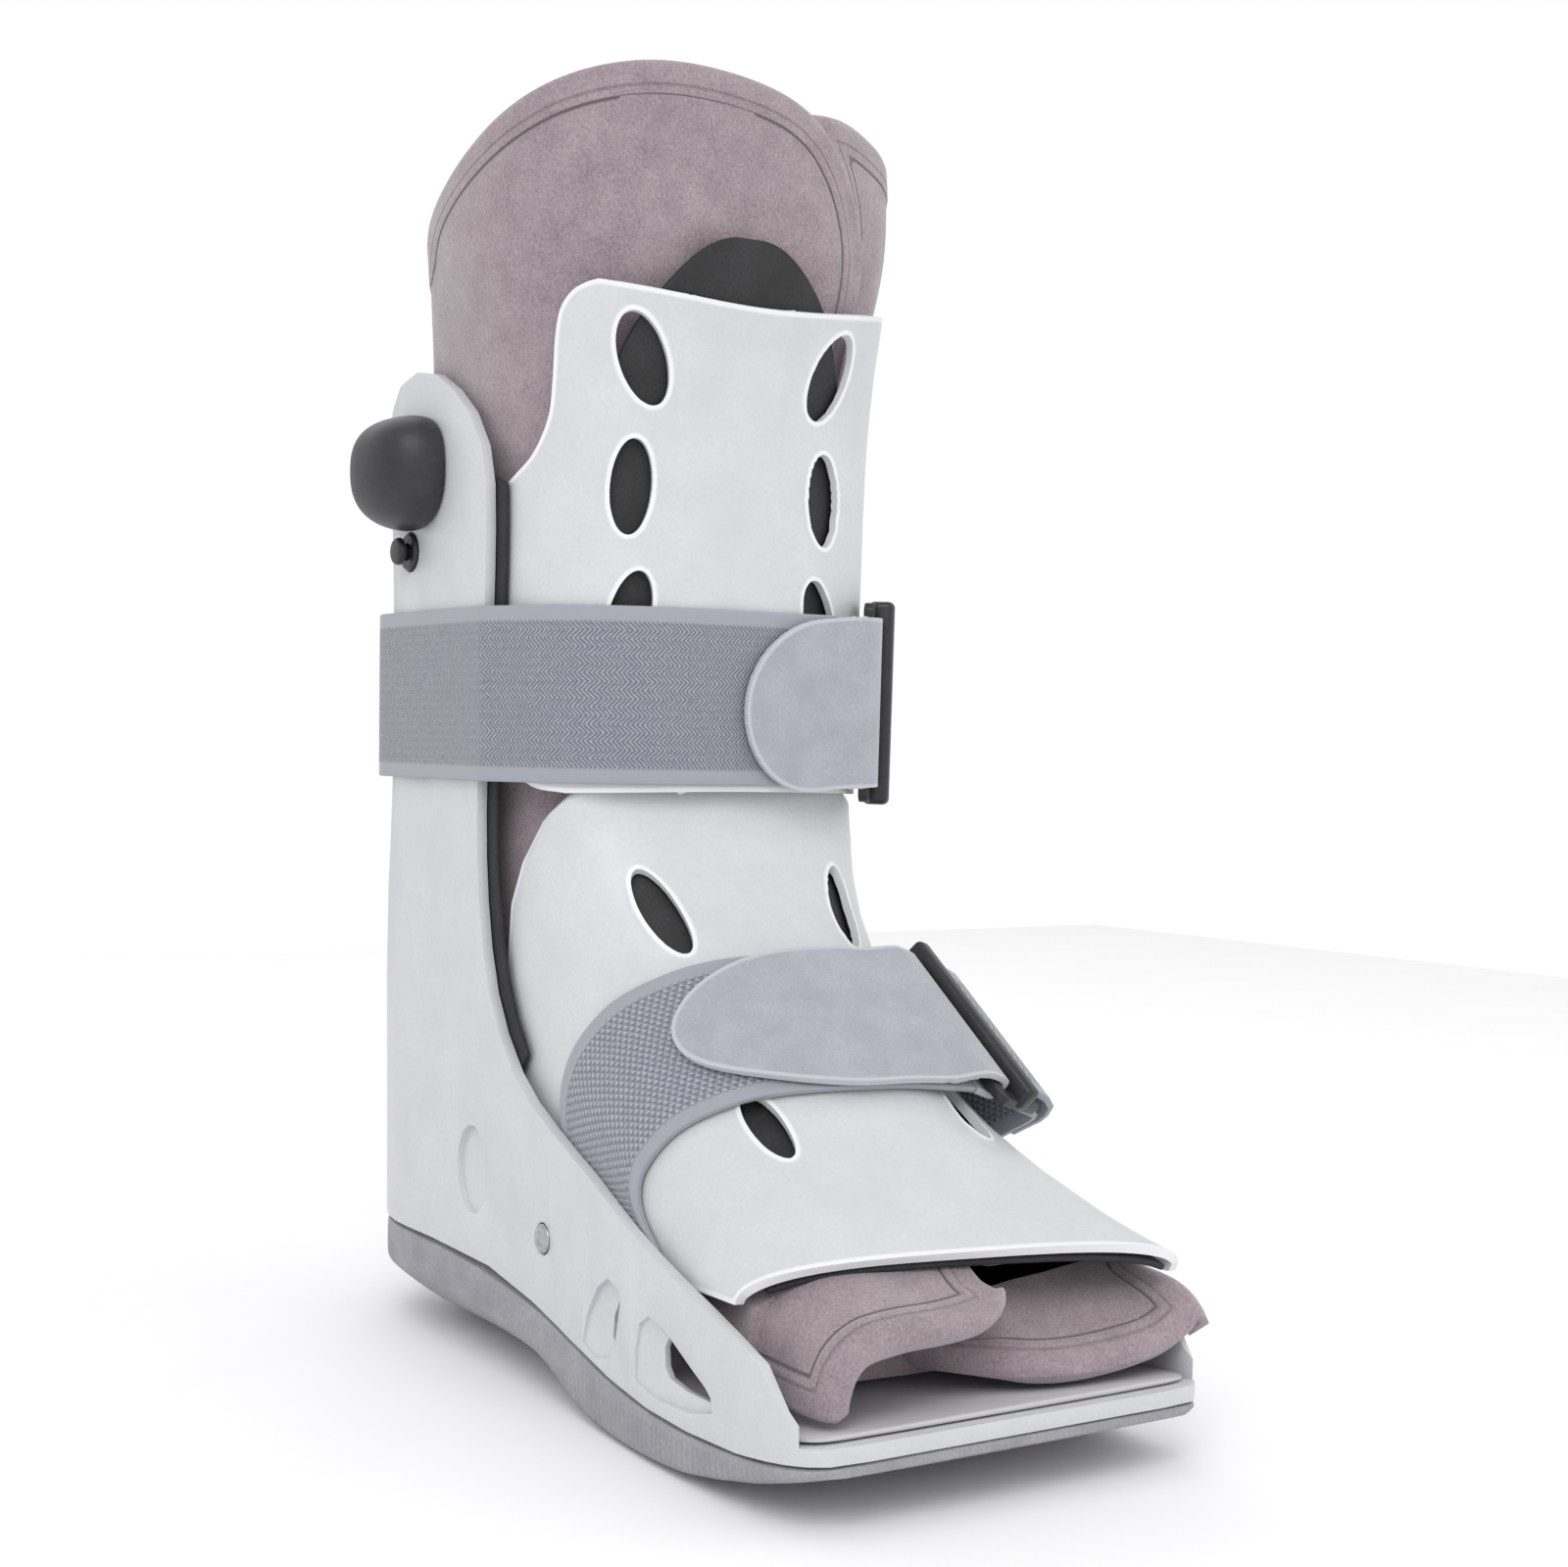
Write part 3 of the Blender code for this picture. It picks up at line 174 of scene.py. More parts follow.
def add_node(tree: bpy.types.NodeTree, kind: str, inputs: dict | None = None, output: int = 0, **settings):
    """Adds a node with its settings, values and links.

    Args:
        tree: the material's node tree.
        kind: Blender's type name of the node.
        inputs: by name or number, a value or the socket that feeds it.
        output: number of the output to return.
        settings: the node's own options.

    Returns:
        The chosen output socket.
    """
    node = tree.nodes.new(kind)
    for name, value in settings.items():
        setattr(node, name, value)
    for name, value in (inputs or {}).items():
        if isinstance(value, bpy.types.NodeSocket):
            tree.links.new(value, node.inputs[name])
        else:
            node.inputs[name].default_value = value
    return node.outputs[output]


def per_metre(size_mm: float) -> float:
    """How many features of a size in millimetres fit in a metre."""
    return 1.0 / (size_mm * MM)


@dataclass(frozen=True)
class Finish:
    """A surface: two tones of one colour mottled together, with a grain that stands out in relief, and, where
    an edge colour is given, a painted highlight along the piece's edges.
    """

    name: str
    colour: str
    shade: str
    roughness: float
    grain_mm: float
    relief_mm: float
    ior: float = 1.5
    metallic: float = 0.0
    sheen: float = 0.0
    # edge: colour of a painted highlight along the piece's edges; edge_mm: where that highlight has faded
    # out.
    edge: str = ""
    edge_mm: float = 1.6

    def make(self) -> bpy.types.Material:
        """The finish as a node material."""
        material = bpy.data.materials.new(self.name)
        material.use_nodes = True
        tree = material.node_tree
        shader = tree.nodes["Principled BSDF"]
        shader.inputs["IOR"].default_value = self.ior
        shader.inputs["Metallic"].default_value = self.metallic
        shader.inputs["Sheen Weight"].default_value = self.sheen
        shader.inputs["Sheen Roughness"].default_value = 0.5
        colour, height = self.surface(tree)
        tree.links.new(colour, shader.inputs["Base Color"])
        relief = {"Height": height, "Strength": 1.0, "Distance": self.relief_mm * MM}
        bump = add_node(tree, "ShaderNodeBump", relief)
        tree.links.new(bump, shader.inputs["Normal"])
        tree.links.new(self.gloss(tree), shader.inputs["Roughness"])
        return material

    def grain(self, tree: bpy.types.NodeTree, size_mm: float, detail: float = 2.0) -> bpy.types.NodeSocket:
        """Noise of one grain size over the object."""
        place = add_node(tree, "ShaderNodeTexCoord", output=3)
        settings = {"Vector": place, "Scale": per_metre(size_mm), "Detail": detail, "Roughness": 0.6}
        return add_node(tree, "ShaderNodeTexNoise", settings)

    def gloss(self, tree: bpy.types.NodeTree) -> bpy.types.NodeSocket:
        """Roughness that varies a little in broad patches."""
        patches = self.grain(tree, 22.0)
        ends = {"Value": patches, "From Min": 0.3, "From Max": 0.7}
        ends |= {"To Min": self.roughness - 0.04, "To Max": self.roughness + 0.04}
        return add_node(tree, "ShaderNodeMapRange", ends)

    def mixed(self, tree: bpy.types.NodeTree, share, first, second) -> bpy.types.NodeSocket:
        """Two colours mixed by a share. A colour is a hex value or a socket."""
        first, second = (linear(c) if isinstance(c, str) else c for c in (first, second))
        return add_node(tree, "ShaderNodeMix", {0: share, 6: first, 7: second}, 2, data_type="RGBA")

    def near_edge(self, tree: bpy.types.NodeTree, inner: float, outer: float) -> bpy.types.NodeSocket:
        """1 where the piece's edge is nearer than inner millimetres, 0 past outer."""
        distance = add_node(tree, "ShaderNodeAttribute", output=2, attribute_name="rim")
        ends = {"Value": distance, "From Min": inner, "From Max": outer, "To Min": 1.0, "To Max": 0.0}
        return add_node(tree, "ShaderNodeMapRange", ends)

    def surface(self, tree: bpy.types.NodeTree) -> tuple[bpy.types.NodeSocket, bpy.types.NodeSocket]:
        """The colour and the height of the surface."""
        fine = self.grain(tree, self.grain_mm)
        broad = self.grain(tree, self.grain_mm * 16)
        both = add_node(tree, "ShaderNodeMath", {0: fine, 1: broad}, operation="MULTIPLY")
        share = add_node(tree, "ShaderNodeMapRange", {"Value": both, "From Min": 0.12, "From Max": 0.4})
        colour = self.mixed(tree, share, self.shade, self.colour)
        # Painted highlight: a paler band along the piece's edges, where they catch the light.
        if self.edge:
            share = self.near_edge(tree, self.edge_mm * 0.6, self.edge_mm)
            colour = self.mixed(tree, share, colour, self.edge)
        return colour, fine


class Weave(Enum):
    """How the loops of a webbing run."""

    HERRINGBONE = "herringbone"
    RIBBED = "ribbed"


@dataclass(frozen=True)
class Webbing(Finish):
    """Knitted loop webbing: rows of loops, paler on their tops and with painted shade on the ground between
    them, and a smooth hem at each edge.

    The real loops are 0.6 mm apart. They are drawn coarser, so that they show.
    """

    weave: Weave = Weave.HERRINGBONE
    pitch_mm: float = 1.25
    row_mm: float = 2.3
    hem_mm: float = 4.2
    hem: str = "#9C9EA7"

    def loops(self, tree: bpy.types.NodeTree, along, across) -> bpy.types.NodeSocket:
        """Height of the loops, 0 to 1."""
        if self.weave is Weave.HERRINGBONE:
            turn = add_node(tree, "ShaderNodeMath", {0: across, 1: self.row_mm}, operation="PINGPONG")
            wobble = self.grain(tree, 3.0)
            turn = add_node(tree, "ShaderNodeMath", {0: turn, 1: wobble}, operation="ADD")
            place = add_node(tree, "ShaderNodeMath", {0: along, 1: turn}, operation="ADD")
        else:
            row = add_node(tree, "ShaderNodeMath", {0: across, 1: self.row_mm}, operation="DIVIDE")
            row = add_node(tree, "ShaderNodeMath", {0: row}, operation="FLOOR")
            step = add_node(tree, "ShaderNodeMath", {0: row, 1: self.pitch_mm * 0.5}, operation="MULTIPLY")
            place = add_node(tree, "ShaderNodeMath", {0: along, 1: step}, operation="ADD")
        phase = {0: place, 1: 2 * math.pi / self.pitch_mm}
        wave = add_node(tree, "ShaderNodeMath", phase, operation="MULTIPLY")
        wave = add_node(tree, "ShaderNodeMath", {0: wave}, operation="SINE")
        rows = {0: across, 1: 2 * math.pi / self.row_mm}
        ridge = add_node(tree, "ShaderNodeMath", rows, operation="MULTIPLY")
        ridge = add_node(tree, "ShaderNodeMath", {0: ridge}, operation="SINE")
        weight = 0.12 if self.weave is Weave.HERRINGBONE else 0.55
        total = add_node(tree, "ShaderNodeMath", {0: ridge, 1: weight, 2: wave}, operation="MULTIPLY_ADD")
        return add_node(tree, "ShaderNodeMapRange", {"Value": total, "From Min": -1.2, "From Max": 1.2})

    def surface(self, tree: bpy.types.NodeTree) -> tuple[bpy.types.NodeSocket, bpy.types.NodeSocket]:
        """The colour and the height of the webbing."""
        cloth = add_node(tree, "ShaderNodeUVMap", uv_map="cloth")
        split = add_node(tree, "ShaderNodeSeparateXYZ", {0: cloth}).node
        along, across = (
            add_node(tree, "ShaderNodeMath", {0: split.outputs[axis], 1: 1 / MM}, operation="MULTIPLY")
            for axis in (0, 1)
        )
        loops = self.loops(tree, along, across)
        fuzz = self.grain(tree, self.grain_mm, 3.0)
        height = add_node(tree, "ShaderNodeMath", {0: loops, 1: fuzz}, operation="MULTIPLY")
        # The colour follows the height: painted shade low between the loops, paler loop tops.
        share = add_node(tree, "ShaderNodeMapRange", {"Value": height, "From Min": 0.12, "From Max": 0.52})
        colour = self.mixed(tree, share, self.shade, self.colour)
        inward = add_node(tree, "ShaderNodeMath", {0: across, 1: STRAP_WIDTH / 2}, operation="PINGPONG")
        ends = {"Value": inward, "From Min": self.hem_mm - 0.4, "From Max": self.hem_mm + 0.4}
        inside = add_node(tree, "ShaderNodeMapRange", ends)
        colour = self.mixed(tree, inside, self.hem, colour)
        height = add_node(tree, "ShaderNodeMath", {0: height, 1: inside}, operation="MULTIPLY")
        return colour, height


@dataclass(frozen=True)
class Plush(Finish):
    """Short-pile plush over foam: a fine nap with paler tips and painted shade at its roots, and a stitched
    hem along each edge, drawn darker as painted shade in its grooves.
    """

    # seam: colour of the stitch lines, the stitching with painted shade in its grooves.
    seam: str = "#5F5357"
    hem_mm: float = 9.5
    line_mm: float = 0.75

    def surface(self, tree: bpy.types.NodeTree) -> tuple[bpy.types.NodeSocket, bpy.types.NodeSocket]:
        """The colour and the height of the pile."""
        nap = self.grain(tree, self.grain_mm, 4.0)
        patches = self.grain(tree, 9.0)
        # Colour from broad patches of tone and from the nap's height: painted shade where the nap is low,
        # paler tips.
        mottle_and_nap_shade = add_node(tree, "ShaderNodeMath", {0: patches, 1: 0.45, 2: nap}, operation="MULTIPLY_ADD")
        share = add_node(tree, "ShaderNodeMapRange", {"Value": mottle_and_nap_shade, "From Min": 0.5, "From Max": 0.95})
        colour = self.mixed(tree, share, self.shade, self.colour)
        distance = add_node(tree, "ShaderNodeAttribute", output=2, attribute_name="rim")
        height = nap
        # Two stitched grooves along the hem: each dips the height and is drawn darker in the seam colour, the
        # stitching with painted shade in the groove.
        for place, depth in ((self.hem_mm, 1.0), (self.hem_mm - 2.8, 0.45)):
            off = add_node(tree, "ShaderNodeMath", {0: distance, 1: place}, operation="SUBTRACT")
            off = add_node(tree, "ShaderNodeMath", {0: off}, operation="ABSOLUTE")
            ends = {"Value": off, "From Min": 0.0, "From Max": self.line_mm, "To Min": depth, "To Max": 0.0}
            line = add_node(tree, "ShaderNodeMapRange", ends, interpolation_type="SMOOTHSTEP")
            colour = self.mixed(tree, line, colour, self.seam)
            height = add_node(tree, "ShaderNodeMath", {0: line, 1: -1.6, 2: height}, operation="MULTIPLY_ADD")
        return colour, height


@dataclass(frozen=True)
class Rubber(Finish):
    """Moulded sole rubber: matt, with fine moulded ribs low on its side, and painted shade in the troughs
    between the ribs.
    """

    rib_mm: float = 2.6
    rib_top_mm: float = 11.0

    def surface(self, tree: bpy.types.NodeTree) -> tuple[bpy.types.NodeSocket, bpy.types.NodeSocket]:
        """The colour and the height of the rubber."""
        colour, fine = super().surface(tree)
        place = add_node(tree, "ShaderNodeTexCoord", output=3)
        split = add_node(tree, "ShaderNodeSeparateXYZ", {0: place}).node
        run = add_node(tree, "ShaderNodeMath", {0: split.outputs[1], 1: split.outputs[0]}, operation="ADD")
        phase = {0: run, 1: 2 * math.pi / (self.rib_mm * MM)}
        wave = add_node(tree, "ShaderNodeMath", phase, operation="MULTIPLY")
        wave = add_node(tree, "ShaderNodeMath", {0: wave}, operation="SINE")
        top = self.rib_top_mm * MM
        ends = {"Value": split.outputs[2], "From Min": top - MM, "From Max": top}
        low = add_node(tree, "ShaderNodeMapRange", ends | {"To Min": 1.0, "To Max": 0.0})
        ribs = add_node(tree, "ShaderNodeMath", {0: wave, 1: low}, operation="MULTIPLY")
        height = add_node(tree, "ShaderNodeMath", {0: ribs, 1: 2.0, 2: fine}, operation="MULTIPLY_ADD")
        # Painted shade: the rib troughs are mixed towards the darker tone.
        shade = {"Value": ribs, "From Min": -1.0, "From Max": 0.2, "To Min": 0.35, "To Max": 0.0}
        return self.mixed(tree, add_node(tree, "ShaderNodeMapRange", shade), colour, self.shade), height


# Satin polypropylene: even cool white, a soft sheen, and a paler line where an edge catches the light.
WHITE_PLASTIC = Finish("moulded_polypropylene", "#D2D3D6", "#CACBCF", 0.36, 1.1, 0.012, 1.49, edge="#E9EAEC")
SHELL_PLASTIC = Finish("moulded_shell_polypropylene", "#D0D1D4", "#C8C9CD", 0.38, 1.1, 0.012, 1.49)
# Matt sole rubber with a mould-blasted skin.
SOLE_RUBBER = Rubber("moulded_sole_rubber", "#A5A4A9", "#8D8C92", 0.72, 0.9, 0.06, 1.52)
# Polyester loop webbing: pale loop tops, with painted shade on the ground between them.
UPPER_WEB = Webbing("knitted_loop_webbing", "#AAACB6", "#70727D", 0.86, 0.9, 0.42, sheen=0.25)
LOWER_WEB = Webbing(
    "ribbed_loop_webbing", "#ADAEB8", "#747681", 0.86, 0.9, 0.42, sheen=0.25,
    weave=Weave.RIBBED, pitch_mm=2.1, row_mm=1.5,
)
# Hook tape seen from its brushed back: pale, soft and nearly even, with a painted highlight along its edges.
TAB_TAPE = Finish(
    "brushed_hook_tape", "#ADAEB7", "#9D9EA7", 0.88, 0.7, 0.12, sheen=0.3, edge="#BDBEC5", edge_mm=1.3
)
# Short-pile knitted polyester plush, warm grey, with painted shade at the roots of the nap.
PLUSH = Plush("short_pile_plush", "#A99A9F", "#82747A", 0.95, 0.75, 0.40, sheen=0.55)
# Nylon coated with polyurethane, black and half matt.
PAD_CLOTH = Finish("coated_nylon_pad", "#2B2A2C", "#1B1A1C", 0.62, 0.9, 0.08)
# Moulded acetal: black, with a low shine.
SLIDE_PLASTIC = Finish("moulded_black_acetal", "#2E2E31", "#222225", 0.36, 1.4, 0.03, 1.48)
# Dipped rubber: black, satin.
BULB_RUBBER = Finish("satin_bulb_rubber", "#2F2F33", "#242427", 0.44, 1.6, 0.03, 1.52)
# Nickel plate on pressed steel.
SNAP_METAL = Finish("nickel_plated_snap", "#C2C2C4", "#A9A9AC", 0.30, 1.0, 0.02, metallic=1.0)
# Brushed loop lining, pale and fuzzy.
LOOP_CLOTH = Finish("loop_lining", "#D5D3D8", "#A7A5AC", 0.92, 0.8, 0.45, sheen=0.3)
# Matt white studio paint.
FLOOR_PAINT = Finish("matt_studio_floor", "#FBFBFC", "#F9F9FA", 0.85, 40.0, 0.01)


def unit(vector: np.ndarray) -> np.ndarray:
    """The vector at length 1."""
    return vector / np.linalg.norm(vector)


def smooth_step(t: float) -> float:
    """0 before 0, 1 after 1, and an even turn between them."""
    t = min(max(t, 0.0), 1.0)
    return t * t * (3 - 2 * t)


def smooth(table: list, count: int) -> np.ndarray:
    """Even points on a smooth curve through a table's rows.

    Args:
        table: the rows, each a point of any number of values.
        count: how many points to make.

    Returns:
        An array of count rows.
    """
    rows = np.asarray(table, float)
    ends = np.vstack([2 * rows[0] - rows[1], rows, 2 * rows[-1] - rows[-2]])
    length = np.concatenate([[0], np.cumsum(np.linalg.norm(np.diff(rows, axis=0), axis=1))])
    made = []
    for place in np.linspace(0, length[-1], count):
        i = min(int(np.searchsorted(length, place, side="right")) - 1, len(rows) - 2)
        t = (place - length[i]) / (length[i + 1] - length[i])
        a, b, c, d = ends[i : i + 4]
        bend = (2 * a - 5 * b + 4 * c - d) * t**2 + (3 * b - a - 3 * c + d) * t**3
        made.append(0.5 * (2 * b + (c - a) * t + bend))
    return np.array(made)


def half_width(z: float) -> float:
    """Half width of the uprights and the heel cup at one height."""
    return HALF_WIDTH + FLARE * (z - FLARE_START)


def shin_section(z: float, angle: float, out: float = 0.0) -> tuple[float, float, float]:
    """A point on the shin plate's outer face, angle degrees round from straight ahead towards +X."""
    wide = half_width(z) - SHIN_INSET + out
    rows = np.array(SHIN_EDGE)[::-1]
    deep = SHIN_DEPTH * np.interp(z, rows[:, 0] * SHIN_TOP, rows[:, 3]) + out
    turn = math.radians(angle)
    s, c = abs(math.sin(turn)) / wide, abs(math.cos(turn)) / deep
    reach = (s**SHIN_POWER + c**SHIN_POWER) ** (-1 / SHIN_POWER)
    return (reach * math.sin(turn), SHIN_CENTRE - reach * math.cos(turn), z)


def instep_point(place: float, across: float) -> np.ndarray:
    """A point on the instep plate's outer face. place: row of INSTEP, across: -1 to 1 from side to side."""
    i = min(max(int(place), 0), len(INSTEP) - 2)
    row = np.array(INSTEP[i]) + (np.array(INSTEP[i + 1]) - np.array(INSTEP[i])) * (place - i)
    middle, edge, reach = row[:2], row[2:4], row[4] * INSTEP_HALF_WIDTH
    turn = min(abs(across), 1.0) * math.pi / 2
    power = INSTEP_POWER + (TOE_POWER - INSTEP_POWER) * smooth_step((place - 8.5) / 2.5)
    x = math.copysign(reach * math.sin(turn) ** (2 / power), across)
    y, z = middle + (edge - middle) * (1 - max(math.cos(turn), 0.0) ** (2 / power))
    skew = TOE_SKEW * max(0.0, (place - 8) / 4) ** 2
    return np.array((x, y - skew * x / INSTEP_HALF_WIDTH, z))


def normals(grid: np.ndarray) -> np.ndarray:
    """Unit normals of a grid of points, outward where rows run down and columns run towards +X."""
    made = np.cross(np.gradient(grid, axis=0), np.gradient(grid, axis=1))
    return made / np.maximum(np.linalg.norm(made, axis=2, keepdims=True), 1e-9)


def pick(obj: bpy.types.Object) -> None:
    """Makes a piece the only one selected, and the active one."""
    bpy.ops.object.select_all(action="DESELECT")
    obj.select_set(True)
    bpy.context.view_layer.objects.active = obj


def apply_modifiers(obj: bpy.types.Object) -> None:
    """Applies all of a piece's modifiers in order."""
    pick(obj)
    for modifier in list(obj.modifiers):
        bpy.ops.object.modifier_apply(modifier=modifier.name)


def mesh_piece(name: str, points: np.ndarray, faces: list) -> bpy.types.Object:
    """A mesh object from points in millimetres."""
    mesh = bpy.data.meshes.new(name)
    mesh.from_pydata([tuple(p) for p in np.asarray(points, float) * MM], [], faces)
    mesh.validate()
    obj = bpy.data.objects.new(name, mesh)
    bpy.context.scene.collection.objects.link(obj)
    return obj


def grid_piece(
    name: str, grid: np.ndarray, thickness: float, cloth: np.ndarray | None = None
) -> bpy.types.Object:
    """A sheet that follows a grid of points and is thick behind its outer side.

    Args:
        name: the piece's name.
        grid: rows by columns of points in millimetres.
        thickness: in millimetres.
        cloth: for each grid point its place in the flat cloth, in millimetres.

    Returns:
        The sheet, closed, with the cloth's places as its UV map.
    """
    rows, columns = grid.shape[:2]
    faces = [
        (r * columns + c, (r + 1) * columns + c, (r + 1) * columns + c + 1, r * columns + c + 1)
        for r in range(rows - 1)
        for c in range(columns - 1)
    ]
    obj = mesh_piece(name, grid.reshape(-1, 3), faces)
    if cloth is not None:
        layer = obj.data.uv_layers.new(name="cloth")
        flat = cloth.reshape(-1, 2) * MM
        corners = np.array([corner.vertex_index for corner in obj.data.loops])
        layer.uv.foreach_set("vector", flat[corners].astype(np.float32).ravel())
    wall = obj.modifiers.new("thickness", "SOLIDIFY")
    wall.thickness = thickness * MM
    wall.offset = -1.0
    apply_modifiers(obj)
    return obj


def copy_of(node: str, name: str, join: float = 0.0) -> bpy.types.Object:
    """A merged copy of a solid, for modelling.

    Args:
        node: the solid's name.
        name: the new piece's name.
        join: triangles that meet at less than this many degrees become four-sided faces again.

    Returns:
        The copy, in its place.
    """
    shape = bmesh.new()
    shape.from_mesh(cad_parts[node].data)
    bmesh.ops.remove_doubles(shape, verts=shape.verts, dist=0.01 * MM)
    if join:
        limit = math.radians(join)
        bmesh.ops.join_triangles(
            shape, faces=shape.faces, angle_face_threshold=limit, angle_shape_threshold=math.radians(60)
        )
    else:
        edges = [e for e in shape.edges if len(e.link_faces) == 2]
        bmesh.ops.dissolve_limit(shape, angle_limit=math.radians(0.4), verts=shape.verts, edges=edges)
    points = [v.co.copy() / MM for v in shape.verts]
    shape.verts.index_update()
    faces = [tuple(v.index for v in face.verts) for face in shape.faces]
    shape.free()
    return mesh_piece(name, np.array(points), faces)


def soften(obj: bpy.types.Object, width: float, levels: int, angle: float = 40.0, segments: int = 1) -> None:
    """Rounds the sharp edges of a piece, then subdivides it to a smooth form.

    Args:
        obj: the piece.
        width: of the rounded edges, in millimetres.
        levels: of subdivision.
        angle: edges sharper than this many degrees are rounded.
        segments: faces across a rounded edge.
    """
    round_off = obj.modifiers.new("edges", "BEVEL")
    round_off.width = width * MM
    round_off.segments = segments
    round_off.limit_method = "ANGLE"
    round_off.angle_limit = math.radians(angle)
    round_off.use_clamp_overlap = True
    if levels:
        step = obj.modifiers.new("form", "SUBSURF")
        step.levels = step.render_levels = levels
    apply_modifiers(obj)


def rim_points(obj: bpy.types.Object, angle: float = 50.0, step: float = 0.6) -> list[Vector]:
    """Points along a piece's sharp edges, in metres."""
    shape = bmesh.new()
    shape.from_mesh(obj.data)
    found = []
    for edge in shape.edges:
        if len(edge.link_faces) == 2 and edge.calc_face_angle(0.0) > math.radians(angle):
            a, b = (v.co.copy() for v in edge.verts)
            count = max(1, int((b - a).length / (step * MM)))
            found += [a.lerp(b, i / count) for i in range(count + 1)]
    shape.free()
    return found


def mark_rim(
    obj: bpy.types.Object, edges: list[Vector], reach: float = 11.5, depth: float = 3.2
) -> None:
    """Stores each point's distance to the piece's own edge, in millimetres, as the attribute rim.

    Args:
        obj: the piece.
        edges: points along its edges, in metres.
        reach: distances past this are stored as twice as much.
        depth: an edge deeper than this under a point is another layer's, and isn't counted.
    """
    tree = kdtree.KDTree(len(edges))
    for i, point in enumerate(edges):
        tree.insert(point, i)
    tree.balance()
    layer = obj.data.attributes.new("rim", "FLOAT", "POINT")
    ways = np.empty(len(obj.data.vertices) * 3)
    obj.data.vertices.foreach_get("normal", ways)
    values = []
    for vertex, way in zip(obj.data.vertices, ways.reshape(-1, 3)):
        nearest, way = 2 * reach, Vector(way)
        if tree.find(vertex.co)[2] < reach * MM:
            for point, _, distance in tree.find_range(vertex.co, reach * MM):
                if distance < nearest * MM and abs((point - vertex.co).dot(way)) < depth * MM:
                    nearest = distance / MM
        values.append(nearest)
    layer.data.foreach_set("value", values)


def dress(
    obj: bpy.types.Object,
    finish: Finish,
    nodes: tuple = (),
    body: str = "boot",
    angle: float = 35.0,
) -> bpy.types.Object:
    """Gives a piece its finish, its body and the solids that it stands for.

    Args:
        obj: the piece.
        finish: its surface.
        nodes: the solids that it replaces.
        body: the body that it moves with.
        angle: edges sharper than this many degrees stay sharp.

    Returns:
        The piece.
    """
    pick(obj)
    bpy.ops.object.shade_smooth_by_angle(angle=math.radians(angle))
    obj.data.materials.clear()
    made = bpy.data.materials.get(finish.name) or finish.make()
    obj.data.materials.append(made)
    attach(obj, body)
    if nodes:
        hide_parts(*nodes)
    LOG.info("%s: %d faces", obj.name, len(obj.data.polygons))
    return obj


@dataclass
class MouldedBase:
    """The white shell with its side walls and uprights, and the rubber sole under it."""

    edge_round: float = 0.7
    sole_round: float = 1.0

    def build(self) -> None:
        """Builds the shell, the sole and the insole."""
        shell = copy_of("base_shell", "moulded_shell")
        soften(shell, self.edge_round, 0, 32.0, 2)
        dress(shell, SHELL_PLASTIC, ("base_shell",), angle=40)
        sole = copy_of("outsole", "rocker_sole", 30.0)
        soften(sole, self.sole_round, 2, 42.0)
        dress(sole, SOLE_RUBBER, ("outsole",))
        insole = copy_of("insole", "loop_insole", 30.0)
        soften(insole, 0.4, 1, 60.0)
        dress(insole, LOOP_CLOTH, ("insole",))


